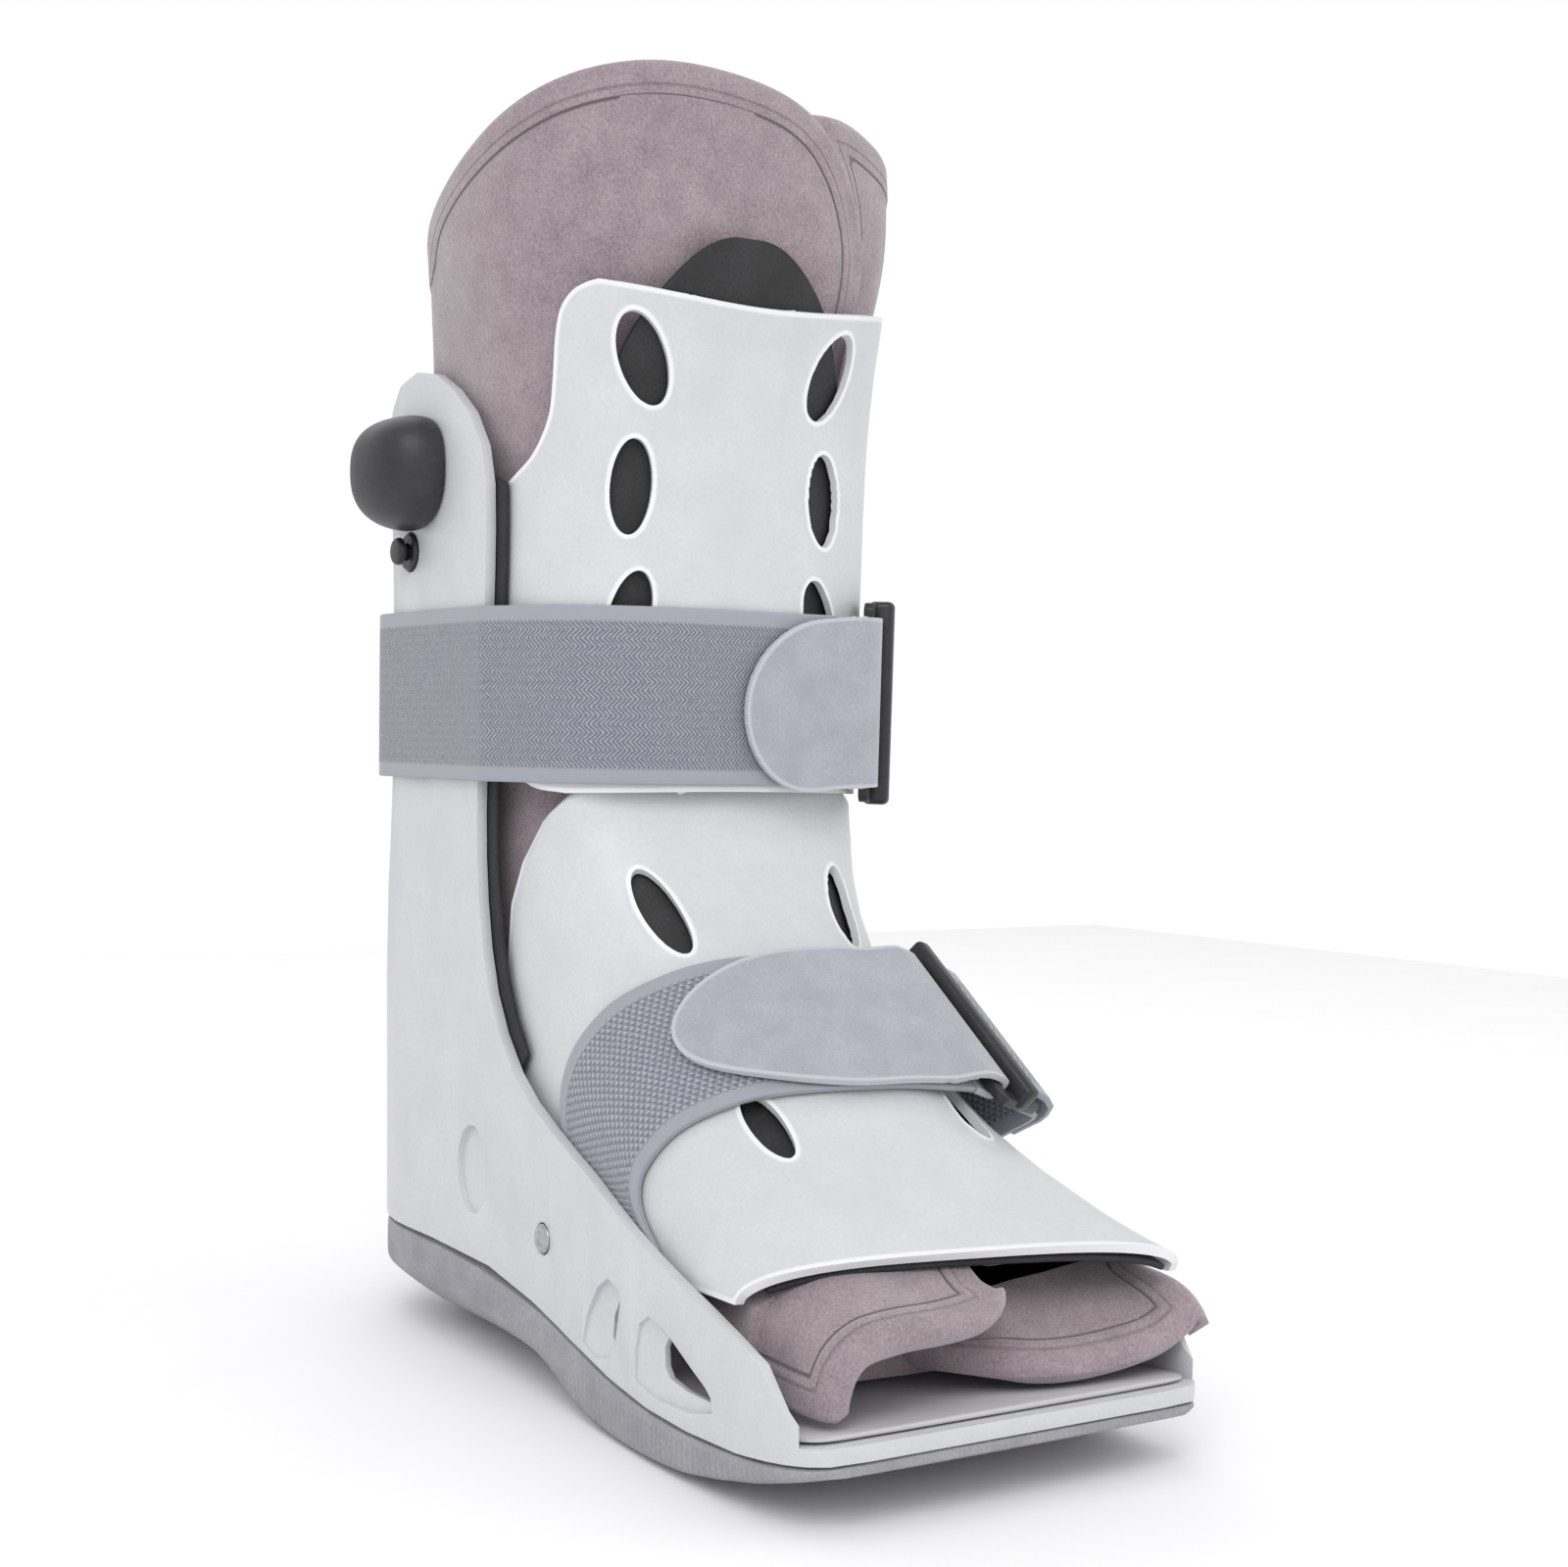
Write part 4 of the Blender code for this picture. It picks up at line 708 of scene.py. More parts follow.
@dataclass
class FrontPlates:
    """The two white plates in front, with their vents, folds and lips."""

    rows: int = 130
    columns: int = 111
    lip_mm: float = 1.5
    lip_height: float = 0.45
    fold_height: float = 0.55
    fold_degrees: float = 2.2
    shin_folds: tuple = (-17.5, 14.5)
    shin_dip: float = 4.5
    crowding: float = 0.94
    row_scale: tuple = (3.0, 30.0)
    oval_points: int = 48
    cut_reach: tuple = (-7.0, 6.0)

    def vent_frames(self, kind: str) -> list[tuple]:
        """Centre, outward, long and short ways, and half sizes of each vent of a plate."""
        frames = []
        table = SHIN_VENTS if kind == "shin" else INSTEP_VENTS
        for first, out, tall, wide, lean in table:
            for side in (-1, 1):
                if kind == "shin":
                    z, angle = first * SHIN_TOP, SHIN_TURN + out * side
                    centre = np.array(shin_section(z, angle))
                    upward = np.array((0.0, 0.0, 1.0))
                    outward = np.cross(np.array(shin_section(z, angle + 1)) - centre, upward)
                else:
                    centre = instep_point(first, out * side)
                    across = instep_point(first, (out + 0.02) * side) - centre
                    upward = instep_point(first - 0.1, out * side) - centre
                    outward = np.cross(across, upward) * side
                outward = unit(outward)
                across = unit(np.cross(outward, upward))
                along = np.cross(across, outward)
                turn = math.radians(-lean * side)
                long = along * math.cos(turn) + across * math.sin(turn)
                short = across * math.cos(turn) - along * math.sin(turn)
                frames.append((centre, outward, long, short, tall / 2, wide / 2))
        return frames

    def lips(self, grid: np.ndarray, frames: list[tuple]) -> np.ndarray:
        """Height of the raised lip round each vent, at each grid point."""
        height = np.zeros(grid.shape[:2])
        for centre, outward, long, short, tall, wide in frames:
            away = grid - centre
            u, v, w = away @ long, away @ short, away @ outward
            size = np.sqrt((u / tall) ** 2 + (v / wide) ** 2)
            beyond = (size - 1) * np.sqrt(u**2 + v**2) / np.maximum(size, 1e-6)
            ridge = np.clip(1 - np.abs(beyond - self.lip_mm * 0.35) / self.lip_mm, 0, 1)
            height = np.maximum(height, np.where(np.abs(w) < 9, ridge * ridge * (3 - 2 * ridge), 0))
        return height * self.lip_height

    def cut(self, plate: bpy.types.Object, frames: list[tuple]) -> None:
        """Cuts the vents through a plate."""
        turns = np.linspace(0, 2 * math.pi, self.oval_points + 1)[:-1]
        count = len(turns)
        for centre, outward, long, short, tall, wide in frames:
            rings = [
                centre + outward * reach + long * tall * math.cos(a) + short * wide * math.sin(a)
                for reach in self.cut_reach
                for a in turns
            ]
            faces = [(i, (i + 1) % count, (i + 1) % count + count, i + count) for i in range(count)]
            faces += [tuple(range(count - 1, -1, -1)), tuple(range(count, 2 * count))]
            cutter = mesh_piece("cutter", np.array(rings), faces)
            pick(cutter)
            bpy.ops.object.mode_set(mode="EDIT")
            bpy.ops.mesh.select_all(action="SELECT")
            bpy.ops.mesh.normals_make_consistent(inside=False)
            bpy.ops.object.mode_set(mode="OBJECT")
            step = plate.modifiers.new("vent", "BOOLEAN")
            step.object = cutter
            step.operation = "DIFFERENCE"
            step.solver = "EXACT"
            apply_modifiers(plate)
            bpy.data.objects.remove(cutter, do_unlink=True)

    def shin_grid(self) -> np.ndarray:
        """Outer face of the shin plate, with its two upright folds."""
        most = math.pi / 2 * self.crowding
        shares = np.sin(np.linspace(-most, most, self.columns)) / math.sin(most)
        tall, turned = self.row_scale
        edge = [(u * tall, r / turned, d, e) for u, r, d, e in SHIN_EDGE]
        grid = []
        for up, reach, dip, _ in smooth(edge, self.rows):
            row = []
            for s in shares:
                angle = reach * turned * s
                z = up / tall * SHIN_TOP - self.shin_dip * dip * (1 - s**2)
                away = [abs(angle - SHIN_TURN - place) for place in self.shin_folds]
                fold_up = sum(math.exp(-a / self.fold_degrees) for a in away)
                row.append(shin_section(z, angle, self.fold_height * fold_up))
            grid.append(row)
        return np.array(grid)

    def build(self) -> None:
        """Builds both plates."""
        for kind, node in (("shin", "shin_shell"), ("instep", "instep_shell")):
            if kind == "shin":
                grid = self.shin_grid()
            else:
                places = np.linspace(0, len(INSTEP) - 1, self.rows)
                shares = np.linspace(-1, 1, self.columns)
                grid = np.array([[instep_point(p, s) for s in shares] for p in places])
            frames = self.vent_frames(kind)
            grid = grid + normals(grid) * self.lips(grid, frames)[..., None]
            plate = grid_piece(f"{kind}_plate", grid, PLATE)
            self.cut(plate, frames)
            mark_rim(plate, rim_points(plate))
            dress(plate, WHITE_PLASTIC, (node,))


# The liner's two flaps at the toe, from the near side to the far one: for each station a point of the
# free edge, one of the seam behind it, and one under the plate.
NEAR_FLAP = [
    ((-47.5, -168.5, 23.0), (-50.8, -159.5, 23.0), (-52.5, -126.0, 25.0)),
    ((-47.0, -169.5, 28.5), (-50.5, -161.0, 30.5), (-52.5, -126.0, 37.0)),
    ((-44.5, -170.0, 34.5), (-47.0, -162.0, 39.5), (-50.0, -126.0, 48.0)),
    ((-38.0, -170.0, 38.8), (-39.5, -162.0, 44.2), (-42.0, -126.0, 57.0)),
    ((-28.0, -169.5, 39.6), (-29.0, -162.0, 45.5), (-30.0, -126.0, 60.5)),
    ((-14.0, -168.5, 39.8), (-14.0, -161.0, 45.4), (-14.0, -126.0, 62.0)),
    ((-3.0, -167.0, 41.2), (-4.0, -160.0, 46.0), (-3.0, -126.0, 63.0)),
    ((3.0, -164.5, 44.2), (0.5, -158.5, 47.2), (5.0, -126.0, 62.5)),
    ((5.5, -161.0, 47.6), (1.5, -157.0, 48.2), (8.0, -126.0, 61.5)),
]
FAR_FLAP = [
    ((-10.0, -124.0, 25.0), (-14.0, -123.0, 32.0), (-14.0, -108.0, 40.0)),
    ((-5.0, -145.0, 24.6), (-9.0, -140.0, 33.0), (-8.0, -118.0, 44.0)),
    ((6.0, -159.0, 24.6), (3.0, -152.0, 33.0), (4.0, -124.0, 48.0)),
    ((19.0, -165.5, 24.6), (17.0, -158.0, 32.6), (18.0, -128.0, 50.0)),
    ((35.0, -167.5, 25.2), (32.5, -160.5, 33.4), (33.0, -130.0, 50.0)),
    ((48.5, -168.0, 27.0), (46.0, -161.5, 35.8), (46.0, -131.0, 50.0)),
    ((57.5, -168.0, 31.0), (55.0, -160.5, 39.6), (54.0, -131.0, 49.0)),
    ((62.5, -168.0, 35.0), (60.5, -159.5, 42.5), (57.0, -131.0, 46.0)),
    ((66.0, -167.0, 32.0), (64.5, -158.5, 38.0), (58.0, -131.0, 40.0)),
]


@dataclass
class PaddedLiner:
    """The plush liner and the black air pads in front of it and at its sides."""

    thickness: float = 6.0
    roll: float = 2.4
    hem_rise: float = 0.5
    hem_mm: float = PLUSH.hem_mm
    toe_cut: float = -142.0

    def build(self) -> None:
        """Builds the liner, its toe flaps and the pads."""
        guide = copy_of("liner", "guide", 40.0)
        edges = self.smooth_edges(guide)
        liner = copy_of("liner", "plush_liner", 40.0)
        soften(liner, self.roll, 3, 50.0)
        mark_rim(liner, edges)
        self.raise_hem(liner)
        self.cut_toe(liner)
        dress(liner, PLUSH, ("liner",), angle=60)
        self.flap("near_toe_flap", NEAR_FLAP)
        self.flap("far_toe_flap", FAR_FLAP)
        self.build_pads()

    def smooth_edges(self, guide: bpy.types.Object) -> list[Vector]:
        """Points along the smoothed free edges of a copy, which is removed."""
        shape = bmesh.new()
        shape.from_mesh(guide.data)
        crease = shape.edges.layers.float.new("crease_edge")
        for edge in shape.edges:
            edge[crease] = float(len(edge.link_faces) == 2 and edge.calc_face_angle(0.0) > math.radians(50))
        shape.to_mesh(guide.data)
        shape.free()
        step = guide.modifiers.new("form", "SUBSURF")
        step.levels = step.render_levels = 2
        apply_modifiers(guide)
        edges = rim_points(guide, 50.0)
        bpy.data.objects.remove(guide, do_unlink=True)
        return edges

    def cut_toe(self, obj: bpy.types.Object) -> None:
        """Cuts the liner off under the instep plate, where the toe flaps take over."""
        pick(obj)
        bpy.ops.object.mode_set(mode="EDIT")
        bpy.ops.mesh.select_all(action="SELECT")
        place, way = (0.0, self.toe_cut * MM, 0.0), (0.0, 1.0, 0.0)
        bpy.ops.mesh.bisect(plane_co=place, plane_no=way, use_fill=True, clear_inner=True)
        bpy.ops.object.mode_set(mode="OBJECT")

    def flap(self, name: str, stations: list) -> None:
        """A padded toe flap through its stations.

        Args:
            name: the piece's name.
            stations: for each one a point of the free edge, the seam and the hidden end.
        """
        lines = [smooth([row[i] for row in stations], 33) for i in range(3)]
        grid = np.array([smooth(list(row), 15) for row in zip(*lines)])
        piece = grid_piece(name, grid, self.thickness)
        edges = rim_points(piece)
        soften(piece, self.roll, 2, 50.0)
        mark_rim(piece, edges)
        self.raise_hem(piece)
        dress(piece, PLUSH, angle=60)

    def build_pads(self) -> None:
        """Builds the black air pads."""
        for node in ("shin_pad", "instep_pad"):
            pad = copy_of(node, f"{node}_cell", 40.0)
            soften(pad, 0.9, 2, 50.0)
            dress(pad, PAD_CLOTH, (node,), angle=60)
        for side in ("left", "right"):
            pad = copy_of(f"side_pad_{side}", f"side_pad_{side}_cell")
            soften(pad, 0.5, 0, 50.0, 2)
            dress(pad, PAD_CLOTH, (f"side_pad_{side}",))

    def raise_hem(self, obj: bpy.types.Object) -> None:
        """Lifts the hem a little above the pile beside its seam."""
        count = len(obj.data.vertices)
        rim, places, ways = np.empty(count), np.empty(count * 3), np.empty(count * 3)
        obj.data.attributes["rim"].data.foreach_get("value", rim)
        obj.data.vertices.foreach_get("co", places)
        obj.data.vertices.foreach_get("normal", ways)
        near_seam = np.clip((self.hem_mm - rim) / 1.6, 0, 1)
        near_edge = np.clip((2.0 - rim) / 2.0, 0, 1)
        lifted = near_seam**2 * (3 - 2 * near_seam) - near_edge**2 * (3 - 2 * near_edge)
        rise = self.hem_rise * MM * lifted
        places += np.repeat(rise, 3) * ways
        obj.data.vertices.foreach_set("co", places)
        obj.data.update()


def hull(points: list) -> np.ndarray:
    """Convex outline of plan points, counterclockwise."""
    points = sorted(map(tuple, points))

    def turn(a: tuple, b: tuple, c: tuple) -> float:
        """Positive where a, b, c turn to the left."""
        return (b[0] - a[0]) * (c[1] - a[1]) - (b[1] - a[1]) * (c[0] - a[0])

    def chain(order: list) -> list:
        """One side of the outline."""
        made = []
        for p in order:
            while len(made) > 1 and turn(made[-2], made[-1], p) <= 0:
                made.pop()
            made.append(p)
        return made[:-1]

    return np.array(chain(points) + chain(points[::-1]))


def leg_outline(z: float, angles: np.ndarray) -> np.ndarray:
    """Points of a taut band's inner face at one height, one for each angle round from straight ahead."""
    plate = [shin_section(z, a)[:2] for a in np.linspace(-88, 88, 45)]
    wall = half_width(z)
    uprights = [(side * wall, y) for side in (-1, 1) for y in UPRIGHT_STOPS]
    shares = np.linspace(-1, 1, 15)
    sags = LINER_BACK_SAG * np.abs(shares) ** LINER_BACK_POWER
    liner = [(LINER_BACK_HALF * share, LINER_BACK - sag) for share, sag in zip(shares, sags)]
    at_ring = np.array(shin_section(z, UPPER_RING_TURN)[:2])
    beside = np.array(shin_section(z, UPPER_RING_TURN + 2)[:2]) - at_ring
    beside *= (RING_WIDTH / 2 + 5) / np.linalg.norm(beside)
    outline = hull(plate + uprights + liner + [tuple(at_ring - beside), tuple(at_ring + beside)])
    centre = np.array((0.0, LEG_MIDDLE))
    following = np.roll(outline, -1, axis=0) - outline
    outward = np.stack([following[:, 1], -following[:, 0]], axis=1)
    outward /= np.linalg.norm(outward, axis=1, keepdims=True)
    depth = np.einsum("ij,ij->i", outline - centre, outward)
    made = []
    for angle in np.radians(angles):
        way = np.array((math.sin(angle), -math.cos(angle)))
        facing = outward @ way
        reach = np.min(depth[facing > 1e-6] / facing[facing > 1e-6])
        made.append((*(centre + way * reach), z))
    return np.array(made)


class Band:
    """A strap's inner face: two edges, with a place along it in millimetres from its start."""

    def __init__(self, first: np.ndarray, second: np.ndarray) -> None:
        """Measures the band along its middle."""
        self.first, self.second = np.asarray(first, float), np.asarray(second, float)
        middle = (self.first + self.second) / 2
        steps = np.linalg.norm(np.diff(middle, axis=0), axis=1)
        self.length = np.concatenate([[0.0], np.cumsum(steps)])

    def edge(self, points: np.ndarray, place: float) -> np.ndarray:
        """A point on one edge, going straight on past either end."""
        i = int(np.clip(np.searchsorted(self.length, place) - 1, 0, len(self.length) - 2))
        t = (place - self.length[i]) / (self.length[i + 1] - self.length[i])
        return points[i] + (points[i + 1] - points[i]) * t

    def out(self, place: float) -> np.ndarray:
        """The way out from the band's inner face."""
        a, b = self.edge(self.first, place), self.edge(self.second, place)
        both = (self.first, self.second)
        ahead = sum(self.edge(e, place + 2.0) - self.edge(e, place - 2.0) for e in both)
        across = unit(b - a)
        return np.cross(unit(ahead - across * (ahead @ across)), across)

    def at(self, place: float, share: float, out: float) -> np.ndarray:
        """A point at share -1 to 1 of the band's width, out above its inner face."""
        a, b = self.edge(self.first, place), self.edge(self.second, place)
        return (a + b) / 2 + (b - a) / 2 * share + self.out(place) * out


def fold(side: int) -> list[tuple[float, float]]:
    """The (along, out) path round one bar of a ring: under it, round its slot side, and back over it."""
    low, high = GAP, 3 * GAP + 2 * STRAP + BAR_THICK + RING_PLAY
    middle = (low + high) / 2
    reach = BAR / 2 + GAP + STRAP
    return [
        (-FOLD_START * side, low),
        (0.0, low),
        (side * reach * 0.72, low + 0.5),
        (side * reach, middle - 1.4),
        (side * reach, middle + 1.4),
        (side * reach * 0.72, high - 0.5),
        (0.0, high),
    ]


def over_strap(along: float) -> float:
    """How far out a folded end lies, at one distance back from its bar."""
    high, over = fold(1)[-1][1], 4 * GAP + 2 * STRAP
    return over + (high - over) * smooth_step(1 - (along - 2.6) / 13.0)


@dataclass
class Straps:
    """Both straps with their tabs, anchors and rings."""

    step_mm: float = 1.5
    columns: int = 25
    tab_columns: int = 25
    edge_round: float = 0.55
    reach: float = (RING_WIDTH - BAR) / 2
    bridge_wide: float = 5.4
    bridge_long: float = 58.5
    bridge_foot: float = 3.2
    bridge_tall: float = 7.4
    bridge_round: float = 1.7
    shoulder: float = 0.45
    upper_nose: float = 44.0
    upper_droop: float = 0.14
    lower_nose: float = 78.0
    lower_droop: float = 0.1
    upper_tail: tuple = (22.0, 15.0, 10.0, 6.0, 3.0)
    lower_tail: tuple = (17.0, 11.0, 6.0, 3.0)
    over_lift: tuple = (0.0, -0.3, 0.35)
    tuck_lift: tuple = (0.4, 0.0, 0.2)

    def webbing(self, name: str, band: Band, path: list, finish: Finish, nodes: tuple) -> None:
        """Webbing along a path of (place, out) rows on a band.

        Args:
            name: the piece's name.
            band: the band that it lies on.
            path: the webbing's side away from the bars.
            finish: its surface.
            nodes: the solids that it replaces.
        """
        rows = np.asarray(path, float)
        total = float(np.sum(np.linalg.norm(np.diff(rows, axis=0), axis=1)))
        rows = smooth(path, int(total / self.step_mm))
        shares = np.linspace(1, -1, self.columns)
        grid = np.array([[band.at(place, s, out) for s in shares] for place, out in rows])
        middle = grid[:, grid.shape[1] // 2]
        run = np.concatenate([[0.0], np.cumsum(np.linalg.norm(np.diff(middle, axis=0), axis=1))])
        cloth = np.empty((*grid.shape[:2], 2))
        cloth[..., 0] = run[:, None]
        cloth[..., 1] = (shares[None, :] + 1) * STRAP_WIDTH / 2
        piece = grid_piece(name, grid, STRAP, cloth)
        edges = rim_points(piece)
        soften(piece, self.edge_round, 0, 60.0, 2)
        mark_rim(piece, edges)
        dress(piece, finish, nodes, angle=60)

    def tab(
        self, name: str, band: Band, bar: float, nose: float, droop: float, nodes: tuple
    ) -> None:
        """The hook tab: round the ring's bar, then back over the strap to a round end.

        Args:
            name: the piece's name.
            band: the band that it lies on.
            bar: place of the ring's bar on the band.
            nose: how far back from the bar its end reaches.
            droop: how much lower its end lies, in half widths.
            nodes: the solids that it replaces.
        """
        shares = np.sin(np.linspace(math.pi / 2, -math.pi / 2, self.tab_columns))
        path = smooth(fold(1), 22)
        grid = [[band.at(bar + along, s, out) for s in shares] for along, out in path]
        cloth = [[(along, (s + 1) * STRAP_WIDTH / 2) for s in shares] for along, _ in path]
        for step in np.linspace(0, 1, 2 + int(nose / self.step_mm))[1:]:
            row, flat = [], []
            for s in shares:
                rounded = self.shoulder + (1 - self.shoulder) * math.sqrt(max(0.0, 1 - s**2))
                back = nose * rounded * step
                side = s - droop * smooth_step(back / nose)
                row.append(band.at(bar - back, side, over_strap(back)))
                flat.append((-back, (s + 1) * STRAP_WIDTH / 2))
            grid.append(row)
            cloth.append(flat)
        piece = grid_piece(name, np.array(grid), STRAP, np.array(cloth))
        edges = rim_points(piece)
        soften(piece, self.edge_round, 0, 60.0, 2)
        mark_rim(piece, edges)
        dress(piece, TAB_TAPE, nodes, angle=60)

    def upper_band(self) -> Band:
        """The band round the leg, from the ring past the far side, the back and the near side."""
        x, y, _ = shin_section(UPPER_STRAP_FOOT, UPPER_RING_TURN)
        turn = math.degrees(math.atan2(x, LEG_MIDDLE - y))
        wide, deep = half_width(UPPER_STRAP_FOOT), LEG_MIDDLE - UPRIGHT_STOPS[-1]
        corner = math.degrees(math.atan2(wide, deep))
        front, rear = np.linspace(turn, -90, 75), np.linspace(-94, turn - 360, 90)
        angles = np.sort(np.concatenate([front, rear, [-corner, corner - 360]]))
        foot, top = UPPER_STRAP_FOOT, UPPER_STRAP_FOOT + STRAP_WIDTH
        return Band(leg_outline(foot, angles), leg_outline(top, angles))

    def lower_band(self) -> Band:
        """The band over the instep: from inside the near wall to the ring, and down inside the far wall."""
        lift, tucked = np.array(self.over_lift), np.array(self.tuck_lift)
        over = [[instep_point(row[i], row[0]) + lift for row in LOWER_PATH] for i in (2, 1)]
        tuck = [[instep_point(row[i], row[0]) + tucked for row in LOWER_TUCK] for i in (2, 1)]
        rings = [np.array(LOWER_RING_FRONT), np.array(LOWER_RING_REAR)]
        sides = list(zip(over, rings, tuck))
        ways = [4 * unit(ring - path[-1]) + unit(end[0] - ring) for path, ring, end in sides]
        way = unit(ways[0] + ways[1]) * (RING_WIDTH / 2 + 4)
        edges = []
        for path, ring, end in sides:
            flat = [ring + way * share for share in (-1, -0.9, 0, 0.9, 1)]
            edges.append(smooth(path + flat + end, 90))
        return Band(*edges)

    def build_upper(self) -> None:
        """Builds the strap round the leg and its tab."""
        band, reach = self.upper_band(), self.reach
        total = band.length[-1]
        path = [(reach + along, over_strap(along)) for along in self.upper_tail]
        path += [(reach + along, out) for along, out in reversed(fold(-1))]
        path += [(place, GAP) for place in band.length if reach + 9 < place < total - reach - 9]
        path += [(total - reach - FOLD_START - GAP, GAP)]
        self.webbing("upper_webbing", band, path, UPPER_WEB, ("upper_strap",))
        nose, droop = self.upper_nose, self.upper_droop
        self.tab("upper_hook_tab", band, total - reach, nose, droop, ("upper_tab",))
        self.bridge("upper_slide_bar", band, total)

    def build_lower(self) -> None:
        """Builds the strap over the instep, its tab and its anchor."""
        band = self.lower_band()
        ring = (np.array(LOWER_RING_REAR) + np.array(LOWER_RING_FRONT)) / 2
        middle = (band.first + band.second) / 2
        place = band.length[int(np.argmin(np.linalg.norm(middle - ring, axis=1)))]
        reach = self.reach
        path = [(at, GAP) for at in band.length[::3] if at < place - reach - 8]
        path += [(place - reach - FOLD_START - GAP, GAP)]
        self.webbing("lower_webbing", band, path, LOWER_WEB, ("lower_strap",))
        nose, droop = self.lower_nose, self.lower_droop
        self.tab("lower_hook_tab", band, place - reach, nose, droop, ("lower_tab",))
        self.bridge("lower_slide_bar", band, place)
        rear = place + reach
        path = [(rear + along, over_strap(along)) for along in self.lower_tail]
        path += [(rear + along, out) for along, out in reversed(fold(-1))]
        path += [(at, GAP) for at in band.length[::3] if at > rear + 8]
        self.webbing("lower_anchor_webbing", band, path, LOWER_WEB, ("lower_anchor",))

    def bridge(self, name: str, band: Band, place: float) -> None:
        """The slide's raised middle bar, which stands between the two folds of webbing.

        Args:
            name: the piece's name.
            band: the band that the slide lies on.
            place: of the slide along the band.
        """
        a, b = band.edge(band.first, place), band.edge(band.second, place)
        out = band.out(place)
        across = unit(b - a)
        middle = (a + b) / 2 + out * (self.bridge_foot + self.bridge_tall / 2)
        bpy.ops.object.select_all(action="DESELECT")
        bpy.ops.mesh.primitive_cube_add(size=1.0)
        bar = bpy.context.active_object
        bar.name = name
        bar.scale = (self.bridge_wide * MM, self.bridge_long * MM, self.bridge_tall * MM)
        bpy.ops.object.transform_apply(location=False, rotation=False, scale=True)
        turned = Matrix([list(row) for row in zip(np.cross(across, out), across, out)]).to_4x4()
        bar.matrix_world = Matrix.Translation(Vector(middle) * MM) @ turned
        bpy.ops.object.transform_apply(location=True, rotation=True, scale=True)
        soften(bar, self.bridge_round, 0, 40.0, 4)
        dress(bar, SLIDE_PLASTIC, angle=40)

    def build(self) -> None:
        """Builds both straps and both rings."""
        self.build_upper()
        self.build_lower()
        for which in ("upper", "lower"):
            ring = copy_of(f"{which}_ring", f"{which}_slide")
            soften(ring, 0.7, 0, 40.0, 3)
            dress(ring, SLIDE_PLASTIC, (f"{which}_ring",), angle=40)


@dataclass
class PumpAndSnaps:
    """The pump bulb, the release valve under it, and the snaps of the side walls."""

    def build(self) -> None:
        """Builds the small fittings."""
        bulb = copy_of("pump_bulb", "pump_bulb_rubber", 50.0)
        soften(bulb, 0.8, 2, 55.0)
        dress(bulb, BULB_RUBBER, ("pump_bulb",), angle=60)
        for node, name, body in (
            ("valve_seat", "valve_collar", "boot"),
            ("valve_button", "valve_push_button", "button"),
        ):
            piece = copy_of(node, name)
            soften(piece, 0.3, 0, 40.0, 2)
            dress(piece, SLIDE_PLASTIC, (node,), body)
        for side in ("left", "right"):
            snap = copy_of(f"rivet_{side}", f"snap_{side}")
            soften(snap, 0.2, 0, 40.0, 2)
            dress(snap, SNAP_METAL, (f"rivet_{side}",))


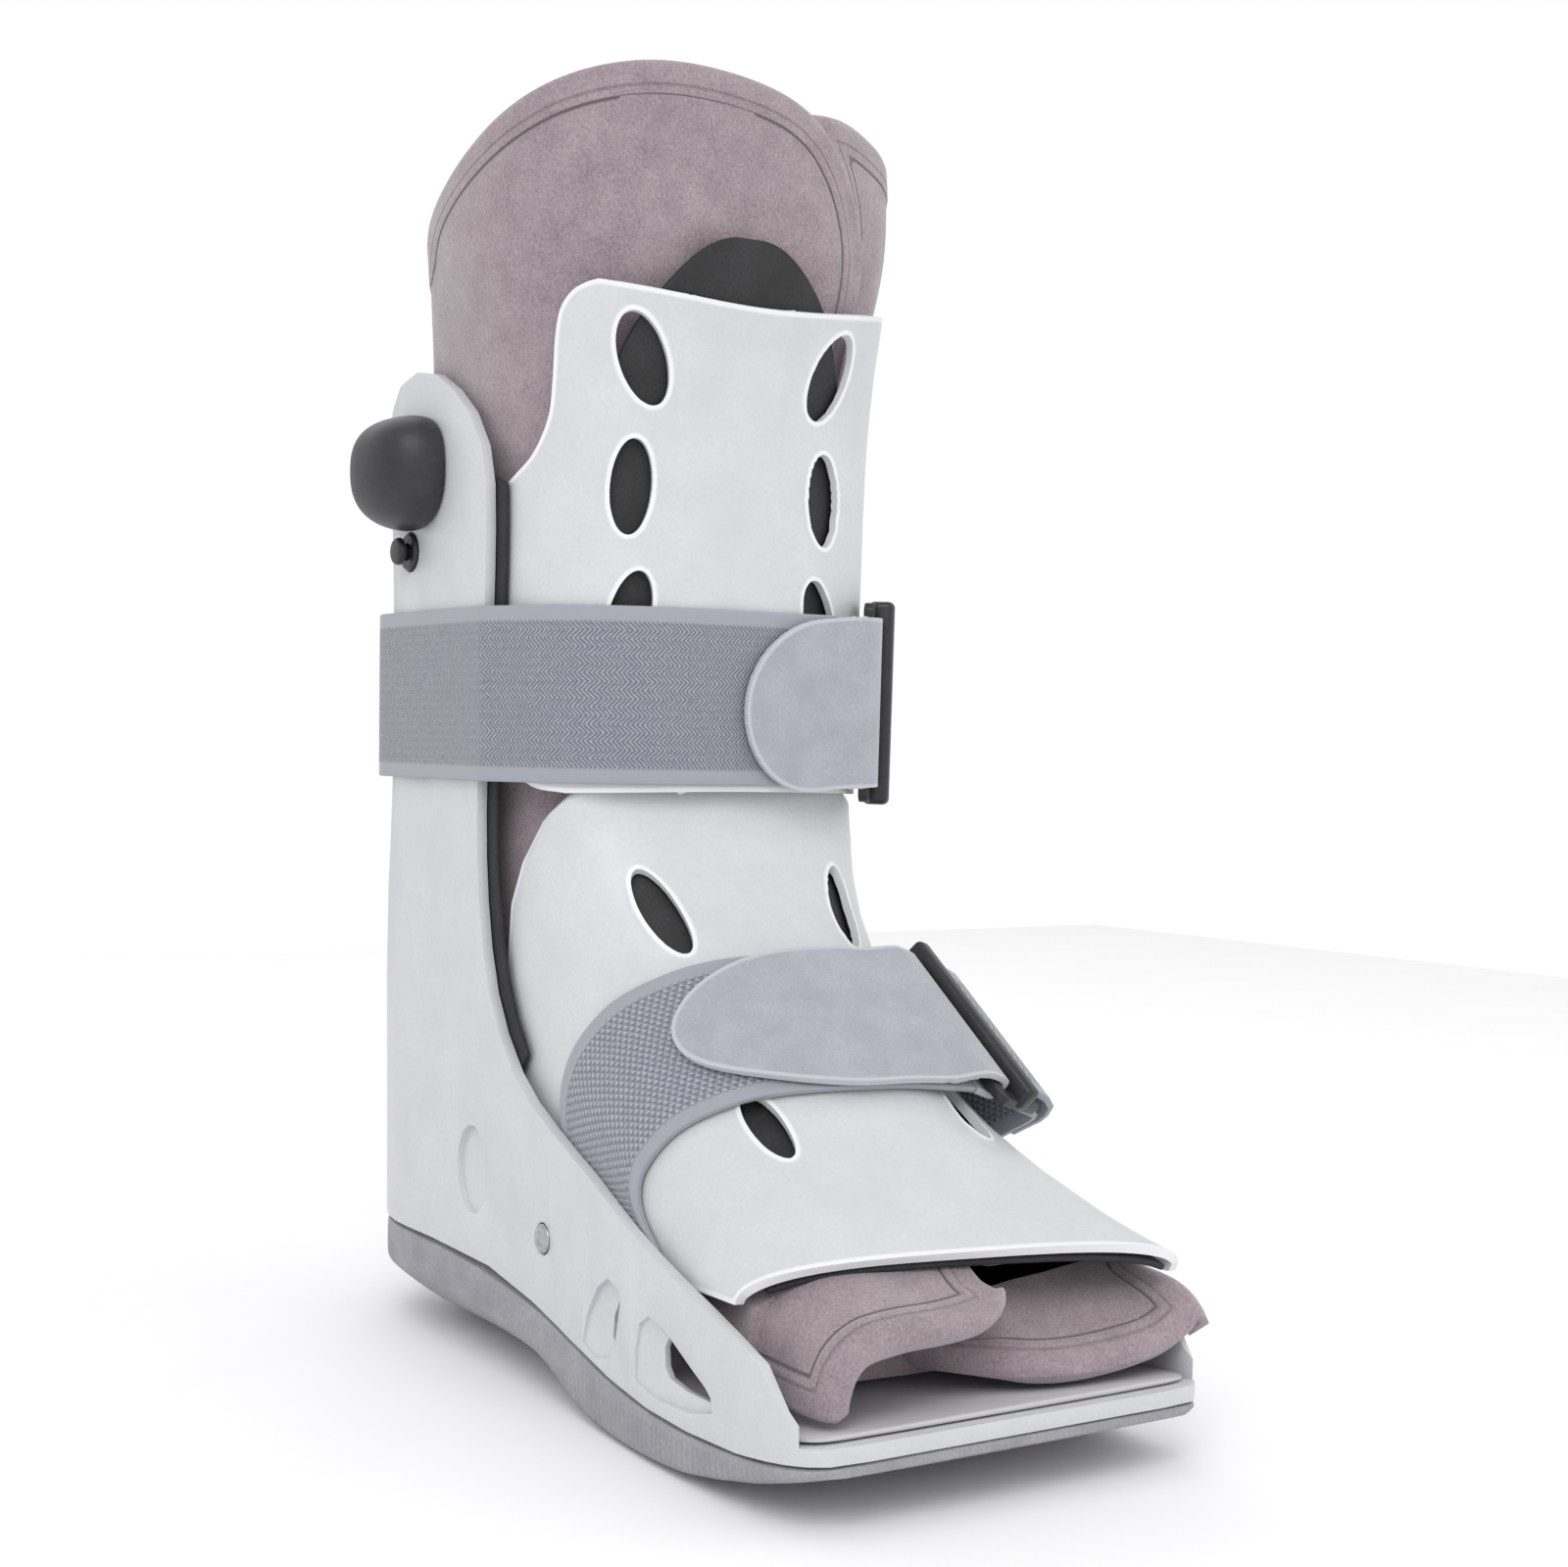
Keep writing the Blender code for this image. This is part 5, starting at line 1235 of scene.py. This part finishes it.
@dataclass
class Studio:
    """A pale floor, soft light, and a camera where the photograph was taken from."""

    heading: float = 33.18
    pitch: float = 1.01
    roll: float = 1.04
    place: tuple = (-0.34965, -0.604, 0.17537)
    focal_px: float = 2434.67
    image_px: float = 1600.0
    sensor_mm: float = 36.0
    ambient: float = 0.86
    floor_size: float = 2.4
    floor_z: float = -0.0002
    aim: tuple = (0.0, -0.03, 0.16)
    lamps: list = field(default_factory=lambda: [
        ((-0.9, -1.1, 1.3), 1.0, 9.5),
        ((1.1, -0.9, 0.9), 1.2, 2.5),
        ((0.2, 1.1, 1.2), 1.2, 3.0),
    ])

    def build(self) -> None:
        """Sets the camera, the lamps, the sky and the floor."""
        a, p, r = (math.radians(v) for v in (self.heading, self.pitch, self.roll))
        forward = Vector((math.sin(a) * math.cos(p), math.cos(a) * math.cos(p), -math.sin(p)))
        right = Vector((math.cos(a), -math.sin(a), 0.0))
        up = right.cross(forward)
        right, up = right * math.cos(r) + up * math.sin(r), up * math.cos(r) - right * math.sin(r)
        camera = bpy.data.objects.new("camera", bpy.data.cameras.new("camera"))
        rows = zip(right, up, -forward)
        turned = Matrix([list(row) for row in rows]).to_4x4()
        camera.matrix_world = Matrix.Translation(self.place) @ turned
        camera.data.sensor_width = self.sensor_mm
        camera.data.lens = self.sensor_mm * self.focal_px / self.image_px
        bpy.context.scene.collection.objects.link(camera)
        bpy.context.scene.camera = camera
        for number, (place, size, power) in enumerate(self.lamps):
            lamp = bpy.data.lights.new(f"softbox_{number}", "AREA")
            lamp.size, lamp.energy = size, power
            stand = bpy.data.objects.new(f"softbox_{number}", lamp)
            stand.location = place
            towards = Vector(self.aim) - Vector(place)
            stand.rotation_euler = towards.to_track_quat("-Z", "Y").to_euler()
            bpy.context.scene.collection.objects.link(stand)
        world = bpy.data.worlds.new("studio")
        world.use_nodes = True
        world.node_tree.nodes["Background"].inputs["Color"].default_value = (1.0, 1.0, 1.0, 1.0)
        tree = world.node_tree
        seen = {"Value": add_node(tree, "ShaderNodeLightPath"), "To Min": self.ambient, "To Max": 1.0}
        strength = add_node(tree, "ShaderNodeMapRange", seen)
        tree.links.new(strength, tree.nodes["Background"].inputs["Strength"])
        bpy.context.scene.world = world
        bpy.context.scene.view_settings.view_transform = "Standard"
        bpy.ops.object.select_all(action="DESELECT")
        place = (0.0, 0.0, self.floor_z)
        bpy.ops.mesh.primitive_plane_add(size=self.floor_size, location=place)
        floor = bpy.context.active_object
        floor.name = "studio_floor"
        floor.data.materials.append(FLOOR_PAINT.make())


def main() -> None:
    """Builds the boot's looks piece by piece."""
    logging.basicConfig(level=logging.INFO, format="%(name)s %(message)s")
    for part in (MouldedBase(), FrontPlates(), PaddedLiner(), Straps(), PumpAndSnaps(), Studio()):
        part.build()
        LOG.info("%s is done", type(part).__name__)


if __name__ == "__main__":
    main()
